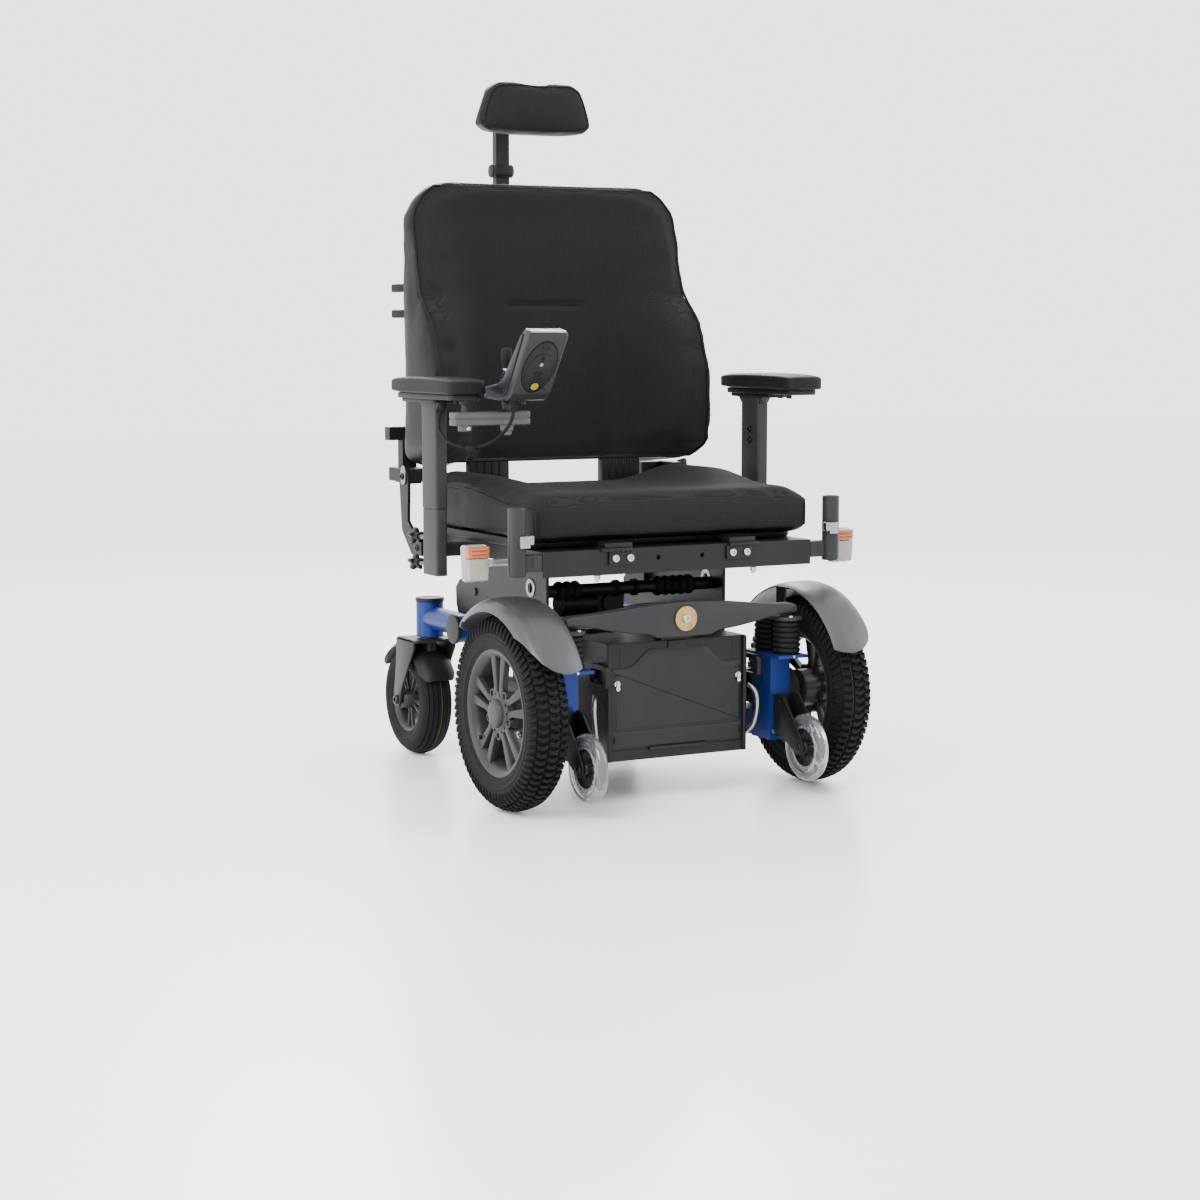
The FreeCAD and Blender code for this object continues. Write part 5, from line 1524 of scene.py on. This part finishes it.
def armrest(name, side):
    mesh = formed_block((10, 26, 5), pad_place(side))
    for _ in range(1):
        bmesh.ops.smooth_vert(mesh, verts=mesh.verts, factor=0.45, use_axis_x=True, use_axis_y=True,
                              use_axis_z=True)
    pad = piece(name + "_arm_pad_foam", mesh, PAD_SKIN, name + "_armrest", smooth=False,
                replaces=[name + "_arm_pad"])
    for face in pad.data.polygons:
        face.use_smooth = True
    soft = pad.modifiers.new("soft", "SUBSURF")
    soft.levels = soft.render_levels = 2

    x, y = side * 0.349, 0.245
    post = bmesh.new()
    section = rounded_outline([(x - 0.012, y - 0.032 + AXLE_Y), (x + 0.012, y - 0.032 + AXLE_Y),
                               (x + 0.012, y + 0.032 + AXLE_Y), (x - 0.012, y + 0.032 + AXLE_Y)], 0.005, 4)
    add_prism(post, section, "XY", 0.5285, 0.1965, 0.0008, 1)
    pad_x = side * 0.360
    tray = rounded_outline([(pad_x - 0.030, 0.080 + AXLE_Y), (pad_x + 0.030, 0.080 + AXLE_Y),
                            (pad_x + 0.030, 0.328 + AXLE_Y), (pad_x - 0.030, 0.328 + AXLE_Y)], 0.016, 5)
    foot = rounded_outline([(pad_x - 0.024, 0.170 + AXLE_Y), (pad_x + 0.024, 0.170 + AXLE_Y),
                            (pad_x + 0.024, 0.318 + AXLE_Y), (pad_x - 0.024, 0.318 + AXLE_Y)], 0.010, 5)
    flare = [(y - 0.032 + AXLE_Y, 0.712), (y - 0.044 + AXLE_Y, 0.7255), (y + 0.044 + AXLE_Y, 0.7255),
             (y + 0.032 + AXLE_Y, 0.712)]
    add_prism(post, flare, "YZ", x - 0.0105, 0.021, 0.0008, 1)
    extra = bmesh.new()
    add_prism(extra, tray, "XY", 0.7320, 0.0105, 0.0020, 2)
    add_prism(extra, foot, "XY", 0.7252, 0.0070, 0.0012, 2)
    for along_y in (0.118, 0.150, 0.185, 0.300):
        add_rod(extra, at(pad_x - 0.012 * side, along_y, 0.7285), 0.0052, 0.0080, "Z", 18, 0.0008)
    if side < 0:
        add_rod(post, at(-0.360, 0.090, 0.7040), 0.0059, 0.0560, "Z", 28, 0.0006)
        add_rod(post, at(-0.360, 0.090, 0.6785), 0.0090, 0.0050, "Z", 28, 0.0008)
        add_rod(extra, at(-0.360, 0.090, 0.7290), 0.0100, 0.0070, "Z", 24, 0.0010)
    piece(name + "_arm_tube", post, GREY_COAT, name + "_armrest", replaces=[name + "_arm_post"])
    piece(name + "_arm_tray", extra, BLACK_PLASTIC, name + "_armrest")
    bolts = bmesh.new()
    for z in (0.662, 0.640):
        add_screw(bolts, at(x - side * 0.012, 0.243, z), 0.0058, 0.0052, "X", -side)
    piece(name + "_arm_tube_bolts", bolts, BLACK_STEEL, name + "_armrest")

    socket = bmesh.new()
    section = rounded_outline([(x - 0.0115, y - 0.031 + AXLE_Y), (x + 0.0115, y - 0.031 + AXLE_Y),
                               (x + 0.0115, y + 0.031 + AXLE_Y), (x - 0.0115, y + 0.031 + AXLE_Y)], 0.005, 4)
    add_prism(socket, section, "XY", 0.4045, 0.1235, 0.0010, 2)
    piece(name + "_arm_socket", socket, SOCKET_GREY, "seat")

    star_knob(name + "_star_knob", name + "_knob", x, 0.471, [name + "_clamp_knob"])
    star_knob(name + "_lower_knob", "seat", x, 0.421, [])


def star_knob(name, body, x, z, replaces):
    """Five-lobed knob on a zinc stud."""
    centre = Vector((x, AXLE_Y + 0.3230, z))
    outline = []
    for step in range(50):
        turn = math.tau * step / 50
        radius = 0.0128 + 0.0034 * math.cos(5 * (turn - math.pi / 2))
        outline.append((centre.x + radius * math.cos(turn), centre.z + radius * math.sin(turn)))
    mesh = bmesh.new()
    add_prism(mesh, outline, "XZ", centre.y + 0.0012, 0.0150, 0.0022, 3)
    add_lathe(mesh, [(-0.0090, 0.0), (-0.0090, 0.0066), (0.0020, 0.0092), (0.0020, 0.0)], centre, "Y", 28,
              closed=False)
    piece(name, mesh, BLACK_PLASTIC, body, replaces=replaces)
    stud = bmesh.new()
    add_rod(stud, Vector((x, AXLE_Y + 0.2960, z)), 0.0038, 0.0420, "Y", 18, 0.0003)
    for step in range(9):
        add_rod(stud, Vector((x, AXLE_Y + 0.2790 + step * 0.0030, z)), 0.0042, 0.0011, "Y", 18, 0.0002)
    piece(name + "_stud", stud, STEEL, body)


def back_details():
    """Rear cover of the back shell, push handles, clamp and headrest joint."""
    knuckle = bmesh.new()
    add_block(knuckle, at(-0.0215, 0.6520, 1.1660), at(0.0215, 0.6840, 1.1920), 0.0050, 3)
    add_rod(knuckle, at(0, 0.6680, 1.1790), 0.0135, 0.0480, "X", 32, 0.0020)
    piece("headrest_knuckle", knuckle, BLACK_PLASTIC, "headrest_post")
    knobs = bmesh.new()
    add_lathe(knobs, [(0.0, 0.0), (0.0, 0.0120), (0.0040, 0.0150), (0.0120, 0.0150), (0.0150, 0.0125),
                      (0.0155, 0.0)],
              at(0.0320, 0.6280, 0.9800), "X", 30, closed=False)
    grip = [(0.0, 0.0), (0.0, 0.0150), (0.0050, 0.0165), (0.0900, 0.0150), (0.0950, 0.0125), (0.0955, 0.0)]
    for x in (-0.1500, 0.1500):
        add_lathe(knobs, grip, at(x, 0.6250, 1.0300), "Y", 36, closed=False)
    for _, side in SIDES:
        for z in (0.930, 0.880):
            add_block(knobs, at(side * 0.2860 - 0.0060, 0.5000, z),
                      at(side * 0.2860 + 0.0060, 0.5680, z + 0.016), 0.0030, 2)
    piece("push_grips_and_knob", knobs, RUBBER, "backrest")
    cover = bmesh.new()
    shape = rounded_outline([(-0.196, 0.650), (0.196, 0.650), (0.196, 1.092), (-0.196, 1.092)], 0.040, 6)
    add_prism(cover, shape, "XZ", AXLE_Y + 0.5672, 0.0040, 0.0015, 2)
    for x in (-0.120, -0.060, 0.060, 0.120):
        rib = rounded_outline([(x - 0.006, 0.700), (x + 0.006, 0.700), (x + 0.006, 0.930),
                               (x - 0.006, 0.930)], 0.005, 3)
        add_prism(cover, rib, "XZ", AXLE_Y + 0.5708, 0.0035, 0.0012, 2)
    piece("back_shell_cover", cover, COVER_PLASTIC, "backrest")
    screws = bmesh.new()
    for x in (-0.176, 0.176):
        for z in (0.680, 0.870, 1.060):
            add_screw(screws, at(x, 0.5710, z), 0.0055, 0.0030, "Y", 1)
    piece("back_shell_screws", screws, CHROME, "backrest")


# ------------------------------------------------------------ joystick

CORD_DIAMETER = 0.006
OVAL_PLASTIC = moulded("controller_oval", rgb(0.0065, 0.0068, 0.0072), 0.40)
CHEEK_BLUE = moulded("controller_cheek", rgb(0.0030, 0.0040, 0.0065), 0.40)
SOCKET_YELLOW = moulded("socket_yellow", rgb(0.26, 0.19, 0.004), 0.45)
SCREEN = moulded("screen_glass", rgb(0.004, 0.005, 0.007), 0.12)
STICK = Vector((-0.2765, 0.090, 0.760))


def controller():
    """Controller: low base, and a display that leans forward over a sloping lower face."""
    x = STICK.x
    profile = [(0.1390, 0.7335), (0.1390, 0.7560), (0.0900, 0.7600), (0.0420, 0.7640), (0.0180, 0.7800),
               (-0.0560, 0.8600), (-0.0740, 0.8560), (-0.0780, 0.8460), (-0.0060, 0.7440), (0.0040, 0.7360),
               (0.0160, 0.7325), (0.0600, 0.7325)]
    side_view = rounded_outline([(a + AXLE_Y, b) for a, b in profile], 0.009, 5)
    mesh = bmesh.new()
    add_prism(mesh, side_view, "YZ", x - 0.0395, 0.0790)
    for vert in mesh.verts:
        back = smooth(vert.co.y - AXLE_Y, 0.050, 0.139)
        vert.co.x = x + (vert.co.x - x) * (1 - 0.42 * back)
    faces = list(mesh.faces)
    bevel_edges(mesh, sharp_edges(mesh, faces, 1.0), 0.0050, 4)
    piece("controller_shell", mesh, CASE_PLASTIC, "joystick_arm",
          replaces=["controller_case"])


def sloping_face(low, top, facing):
    """Matrix from a flat XY layout to a sloping face that looks forward (-1) or back (1)."""
    up = (top - low).normalized()
    across = Vector((1, 0, 0))
    outward = across.cross(up)
    if outward.y * facing < 0:
        outward = -outward
    turn = Matrix((across, up, outward)).transposed().to_4x4()
    return Matrix.Translation((low + top) / 2) @ turn


def lay(mesh, place):
    bmesh.ops.transform(mesh, matrix=place, verts=mesh.verts)


def flat_disc(mesh, a, b, radius, low, high, steps=28):
    add_rod(mesh, (a, b, (low + high) / 2), radius, high - low, "Z", steps)


def flat_oval(mesh, centre, width, height, low, high, bevel=0.0, steps=64):
    outline = [(width * math.cos(math.tau * step / steps),
                centre + height * math.sin(math.tau * step / steps))
               for step in range(steps)]
    add_prism(mesh, outline, "XY", low, high - low, bevel, 2)


def arc_slot(mesh, centre, outer, inner, heading, half, low, depth):
    """A slot bent round a centre."""
    parts = (-1, -0.5, 0, 0.5, 1)
    arc = [(outer * math.cos(heading + half * part), centre + outer * math.sin(heading + half * part))
           for part in parts]
    arc += [(inner * math.cos(heading + half * part), centre + inner * math.sin(heading + half * part))
            for part in reversed(parts)]
    add_prism(mesh, arc, "XY", low, depth)


def controller_face():
    """What the forward face shows: sunken ring painted as a dark shadow oval, raised oval, speaker slots and
    holes painted as dark shadow, socket with shadow discs at its pins, lamp and disc.
    """
    place = sloping_face(at(STICK.x, -0.0060, 0.7440), at(STICK.x, -0.0780, 0.8460), -1)
    # The sunken ring is a flat dark oval under the raised oval, painted as its shadow.
    groove = bmesh.new()
    flat_oval(groove, -0.003, 0.0330, 0.0560, -0.0012, 0.0004)
    lay(groove, place)
    piece("controller_groove_shadow", groove, SHADOW, "joystick_arm", smooth=False)
    raised = bmesh.new()
    flat_oval(raised, -0.004, 0.0310, 0.0535, -0.0012, 0.0010, 0.0005)
    flat_oval(raised, -0.014, 0.0255, 0.0405, 0.0005, 0.0026, 0.0009)
    flat_disc(raised, 0.0, 0.0385, 0.0078, 0.0008, 0.0018, 36)
    lay(raised, place)
    piece("controller_back_oval", raised, OVAL_PLASTIC, "joystick_arm")

    # Speaker slots, small holes and the recess round the socket are dark pieces painted as shadow.
    dark = bmesh.new()
    for index in range(4):
        heading = math.tau * (index + 0.5) / 4
        arc_slot(dark, -0.0200, 0.0105, 0.0080, heading, math.radians(33), 0.0023, 0.0007)
        arc_slot(dark, -0.0200, 0.0060, 0.0036, heading + math.pi / 4, math.radians(24), 0.0023, 0.0007)
    flat_disc(dark, 0.0, -0.0200, 0.0016, 0.0023, 0.0030, 16)
    oval = arc_points(0.0, 0.0185, 0.0028, 0, 180, 8) + arc_points(0.0, 0.0140, 0.0028, 180, 360, 8)
    add_prism(dark, oval, "XY", 0.0023, 0.0007)
    flat_disc(dark, 0.0, -0.0425, 0.0094, 0.0023, 0.0034, 32)
    for a, b, rise in ((-0.0235, -0.0520, 0.0), (0.0235, -0.0520, 0.0), (-0.0048, 0.0385, 0.0016),
                       (0.0048, 0.0385, 0.0016)):
        flat_disc(dark, a, b, 0.0014, rise - 0.0004, rise + 0.0006, 14)
    lay(dark, place)
    piece("controller_opening_shadows", dark, SHADOW, "joystick_arm", smooth=False)

    yellow = bmesh.new()
    flat_disc(yellow, 0.0, -0.0425, 0.0072, 0.0025, 0.0039, 32)
    lay(yellow, place)
    piece("controller_socket", yellow, SOCKET_YELLOW, "joystick_arm")
    # Dark discs at the socket's three pins, painted as shadow.
    pins = bmesh.new()
    for index in range(3):
        turn = math.tau * index / 3 + math.pi / 2
        flat_disc(pins, 0.0037 * math.cos(turn), -0.0425 + 0.0037 * math.sin(turn), 0.0012, 0.0030, 0.0043,
                  12)
    lay(pins, place)
    piece("controller_socket_pin_shadows", pins, SHADOW, "joystick_arm", smooth=False)
    button = bmesh.new()
    flat_disc(button, 0.0, 0.0045, 0.0036, 0.0023, 0.0040, 24)
    lay(button, place)
    piece("controller_lamp", button, STEEL, "joystick_arm")


def controller_trim():
    """Dark blue-black side cheeks, silver top edge, screen and keys on the user's side."""
    x = STICK.x
    cheek = [(0.1180, 0.7400), (0.1180, 0.7520), (0.0880, 0.7560), (0.0460, 0.7600), (0.0200, 0.7740),
             (-0.0500, 0.8500), (-0.0600, 0.8520), (0.0080, 0.7480), (0.0200, 0.7400)]
    outline = rounded_outline([(a + AXLE_Y, b) for a, b in cheek], 0.006, 4)
    mesh = bmesh.new()
    for hand in (-1, 1):
        before = set(mesh.verts)
        start = x + hand * 0.0388 - (0.0024 if hand < 0 else 0.0)
        add_prism(mesh, outline, "YZ", start, 0.0024, 0.0008, 2)
        for vert in mesh.verts:
            if vert not in before:
                back = smooth(vert.co.y - AXLE_Y, 0.050, 0.139)
                vert.co.x = x + (vert.co.x - x) * (1 - 0.42 * back)
    piece("controller_cheeks", mesh, CHEEK_BLUE, "joystick_arm")

    edge = bmesh.new()
    bar = [(-0.0545, 0.8605), (-0.0750, 0.8560), (-0.0765, 0.8530), (-0.0560, 0.8575)]
    add_prism(edge, [(a + AXLE_Y, b) for a, b in bar], "YZ", x - 0.0345, 0.0690, 0.0010, 2)
    piece("controller_top_edge", edge, LAMP_SILVER, "joystick_arm")

    user_face = sloping_face(at(x, 0.0180, 0.7800), at(x, -0.0560, 0.8600), 1)
    screen = bmesh.new()
    add_prism(screen, rounded_outline([(-0.030, -0.006), (0.030, -0.006), (0.030, 0.042), (-0.030, 0.042)],
                                      0.004, 4),
              "XY", -0.0008, 0.0018, 0.0004, 1)
    lay(screen, user_face)
    piece("controller_screen", screen, SCREEN, "joystick_arm")
    keys = bmesh.new()
    for row in range(2):
        for column in range(3):
            a, b = (column - 1) * 0.0200, -0.0180 - row * 0.0140
            key = rounded_outline([(a - 0.0075, b - 0.0045), (a + 0.0075, b - 0.0045),
                                   (a + 0.0075, b + 0.0045), (a - 0.0075, b + 0.0045)], 0.003, 4)
            add_prism(keys, key, "XY", -0.0005, 0.0026, 0.0006, 2)
    lay(keys, user_face)
    piece("controller_keys", keys, OVAL_PLASTIC, "joystick_arm")


def joystick_lever():
    """Waisted grip over a folded gaiter, with a bright collar."""
    centre = at(STICK.x, STICK.y, 0.0)
    boot = [(0.7600, 0.0), (0.7600, 0.0175), (0.7625, 0.0178), (0.7650, 0.0138), (0.7680, 0.0148),
            (0.7705, 0.0112),
            (0.7735, 0.0122), (0.7760, 0.0086), (0.7790, 0.0092), (0.7815, 0.0060), (0.7850,
                                                                                     0.0055), (0.7860, 0.0)]
    mesh = bmesh.new()
    add_lathe(mesh, boot, centre, "Z", 44, closed=False)
    grip = [(0.7880, 0.0), (0.7880, 0.0062), (0.7915, 0.0074), (0.8000, 0.0088), (0.8120, 0.0098),
            (0.8190, 0.0098),
            (0.8230, 0.0086), (0.8252, 0.0060), (0.8260, 0.0)]
    add_lathe(mesh, grip, centre, "Z", 44, closed=False)
    piece("joystick_grip", mesh, RUBBER, "joystick_lever", replaces=["joystick_lever"])
    collar = bmesh.new()
    add_lathe(collar, [(0.7835, 0.0030), (0.7835, 0.0064), (0.7845, 0.0068), (0.7880, 0.0068),
                       (0.7890, 0.0060),
                       (0.7890, 0.0030)], centre, "Z", 36)
    piece("joystick_collar", collar, CHROME, "joystick_lever")
    bezel = bmesh.new()
    add_lathe(bezel, [(0.7560, 0.0178), (0.7560, 0.0225), (0.7605, 0.0222), (0.7618, 0.0200),
                      (0.7605, 0.0180)],
              centre, "Z", 44)
    piece("joystick_bezel", bezel, OVAL_PLASTIC, "joystick_arm")


def swing_arm_cover():
    """Two-part grey swing arm with a seam, bosses below and a post to the controller."""
    near, far = -0.3870, -0.2330
    mesh = bmesh.new()
    shape = rounded_outline([(near, 0.0755 + AXLE_Y), (far, 0.0755 + AXLE_Y), (far, 0.1045 + AXLE_Y),
                             (near, 0.1045 + AXLE_Y)], 0.0095, 6)
    add_prism(mesh, shape, "XY", 0.6872, 0.0118, 0.0022, 3)
    add_prism(mesh, shape, "XY", 0.6996, 0.0122, 0.0030, 3)
    inner = [(a + (0.0012 if a < -0.31 else -0.0012), b + (0.0012 if b < 0.09 + AXLE_Y else -0.0012))
             for a, b in shape]
    add_prism(mesh, inner, "XY", 0.6985, 0.0020)
    boss = [(0.0, 0.0), (0.0, 0.0126), (-0.0100, 0.0118), (-0.0110, 0.0105), (-0.0110, 0.0)]
    add_lathe(mesh, boss, at(-0.2765, 0.090, 0.6878), "Z", 36, closed=False)
    add_lathe(mesh, [(0.0, 0.0), (0.0, 0.0088), (-0.0080, 0.0084), (-0.0088, 0.0070), (-0.0088, 0.0)],
              at(-0.2765, 0.090, 0.6775), "Z", 32, closed=False)
    add_lathe(mesh, [(0.0, 0.0100), (0.0, 0.0130), (-0.0100, 0.0126), (-0.0108, 0.0112), (-0.0108, 0.0100)],
              at(-0.3600, 0.090, 0.6878), "Z", 36)
    piece("swing_arm_halves", mesh, ARM_GREY, "joystick_arm", replaces=["swing_arm"])
    post = bmesh.new()
    add_rod(post, at(-0.2765, 0.090, 0.7220), 0.0078, 0.0220, "Z", 28, 0.0006)
    add_rod(post, at(-0.2965, 0.062, 0.7285), 0.0040, 0.0090, "Z", 18, 0.0006)
    add_rod(post, at(-0.2565, 0.062, 0.7285), 0.0040, 0.0090, "Z", 18, 0.0006)
    piece("controller_post", post, BLACK_STEEL, "joystick_arm")
    screw = bmesh.new()
    add_screw(screw, at(-0.3600, 0.0768, 0.6825), 0.0036, 0.0030, "Y", -1)
    piece("swing_arm_screw", screw, CHROME, "joystick_arm")


CORD_ROUTE = ((-0.354, 0.196, 0.725), (-0.358, 0.196, 0.708), (-0.366, 0.190, 0.690), (-0.370, 0.176, 0.672),
              (-0.364, 0.156, 0.656), (-0.350, 0.132, 0.647), (-0.332, 0.106, 0.646), (-0.314, 0.082, 0.655),
              (-0.298, 0.062, 0.672), (-0.288, 0.050, 0.692), (-0.284, 0.046, 0.712), (-0.284, 0.045, 0.732))


def route_line():
    """Points along the route's smooth spline."""
    curve = smooth_curve("cable_route", [at(*spot) for spot in CORD_ROUTE], 10)
    guide = loose_object("cable_route", curve)
    data = bpy.data.meshes.new_from_object(guide)
    spots = [vert.co.copy() for vert in data.vertices]
    bpy.data.objects.remove(guide)
    bpy.data.meshes.remove(data)
    return spots


def add_tube(mesh, spots, radius, steps=16):
    """A round tube that follows the points without twisting."""
    across = None
    rings = []
    for index, spot in enumerate(spots):
        ahead = (spots[min(index + 1, len(spots) - 1)] - spots[max(index - 1, 0)]).normalized()
        across = ahead.orthogonal() if across is None else across
        across = (across - ahead * across.dot(ahead)).normalized()
        beside = ahead.cross(across)
        rings.append([mesh.verts.new(spot + radius * (across * math.cos(math.tau * step / steps)
                                                      + beside * math.sin(math.tau * step / steps)))
                      for step in range(steps)])
    for low, high in zip(rings, rings[1:]):
        for step in range(steps):
            after = (step + 1) % steps
            mesh.faces.new((low[step], low[after], high[after], high[step]))
    mesh.faces.new(list(reversed(rings[0])))
    mesh.faces.new(rings[-1])


def joystick_cable():
    """Control cable from under the arm pad, in a free loop, up into the controller."""
    spots = route_line()
    tube = bmesh.new()
    add_tube(tube, spots, CORD_DIAMETER / 2)
    cable = piece("control_cable", tube, RUBBER, None, replaces=["joystick_cable"])

    fittings = bmesh.new()
    add_lathe(fittings, [(0.0, 0.0033), (0.0, 0.0075), (-0.0080, 0.0070), (-0.0180, 0.0046),
                         (-0.0200, 0.0040),
                         (-0.0200, 0.0033)], at(-0.354, 0.196, 0.7255), "Z", 28)
    piece("cable_gland", fittings, RUBBER, "right_armrest")
    relief = bmesh.new()
    add_lathe(relief, [(0.0, 0.0033), (0.0, 0.0078), (-0.0080, 0.0070), (-0.0190, 0.0045), (-0.0210, 0.0040),
                       (-0.0210, 0.0033)], at(-0.284, 0.045, 0.7335), "Z", 28)
    piece("cable_boot", relief, RUBBER, "joystick_arm")
    joint = bmesh.new()
    halfway = min(range(len(spots)), key=lambda index: spots[index].z)
    heading = (spots[halfway + 1] - spots[halfway - 1]).normalized()
    turn = Vector((1, 0, 0)).rotation_difference(heading).to_matrix().to_4x4()
    add_lathe(joint, [(-0.0150, 0.0034), (-0.0145, 0.0050), (-0.0110, 0.0068), (0.0110, 0.0068),
                      (0.0145, 0.0050), (0.0150, 0.0034)], (0, 0, 0), "X", 28)
    for step in (-0.0125, -0.0085, 0.0085, 0.0125):
        add_lathe(joint, [(step - 0.0010, 0.0048), (step - 0.0010, 0.0078), (step + 0.0010, 0.0078),
                          (step + 0.0010, 0.0048)], (0, 0, 0), "X", 28)
    bmesh.ops.transform(joint, matrix=Matrix.Translation(spots[halfway]) @ turn, verts=joint.verts)
    plug = piece("cable_connector", joint, RUBBER, None)
    tuple(spots[0])
    [tuple(spot) for spot in spots]
    for loose in (cable, plug):
        tuple(spots[0])
        tuple(spots[-1])
        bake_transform(loose)


# ------------------------------------------------------------ build

dress_nodes()
look()
back_cushion()
seat_cushion()
headrest_cushion()
for name, side in SIDES:
    drive_tyre(name, side)
    drive_rim(name, side)
    caster_wheel(name, side)
    anti_tip_wheel(name, side)
    fender(name, side)
    bellows_pair(name, side)
    quarter_turn(name, side)
    tip_fork_plates(name, side)
    caster_fork(name, side)
    armrest(name, side)
crossbar_casting()
battery_front()
chassis_details()
rear_beam_tubes()
seat_details()
receivers()
lamps()
back_details()
controller()
controller_face()
controller_trim()
joystick_lever()
swing_arm_cover()
joystick_cable()
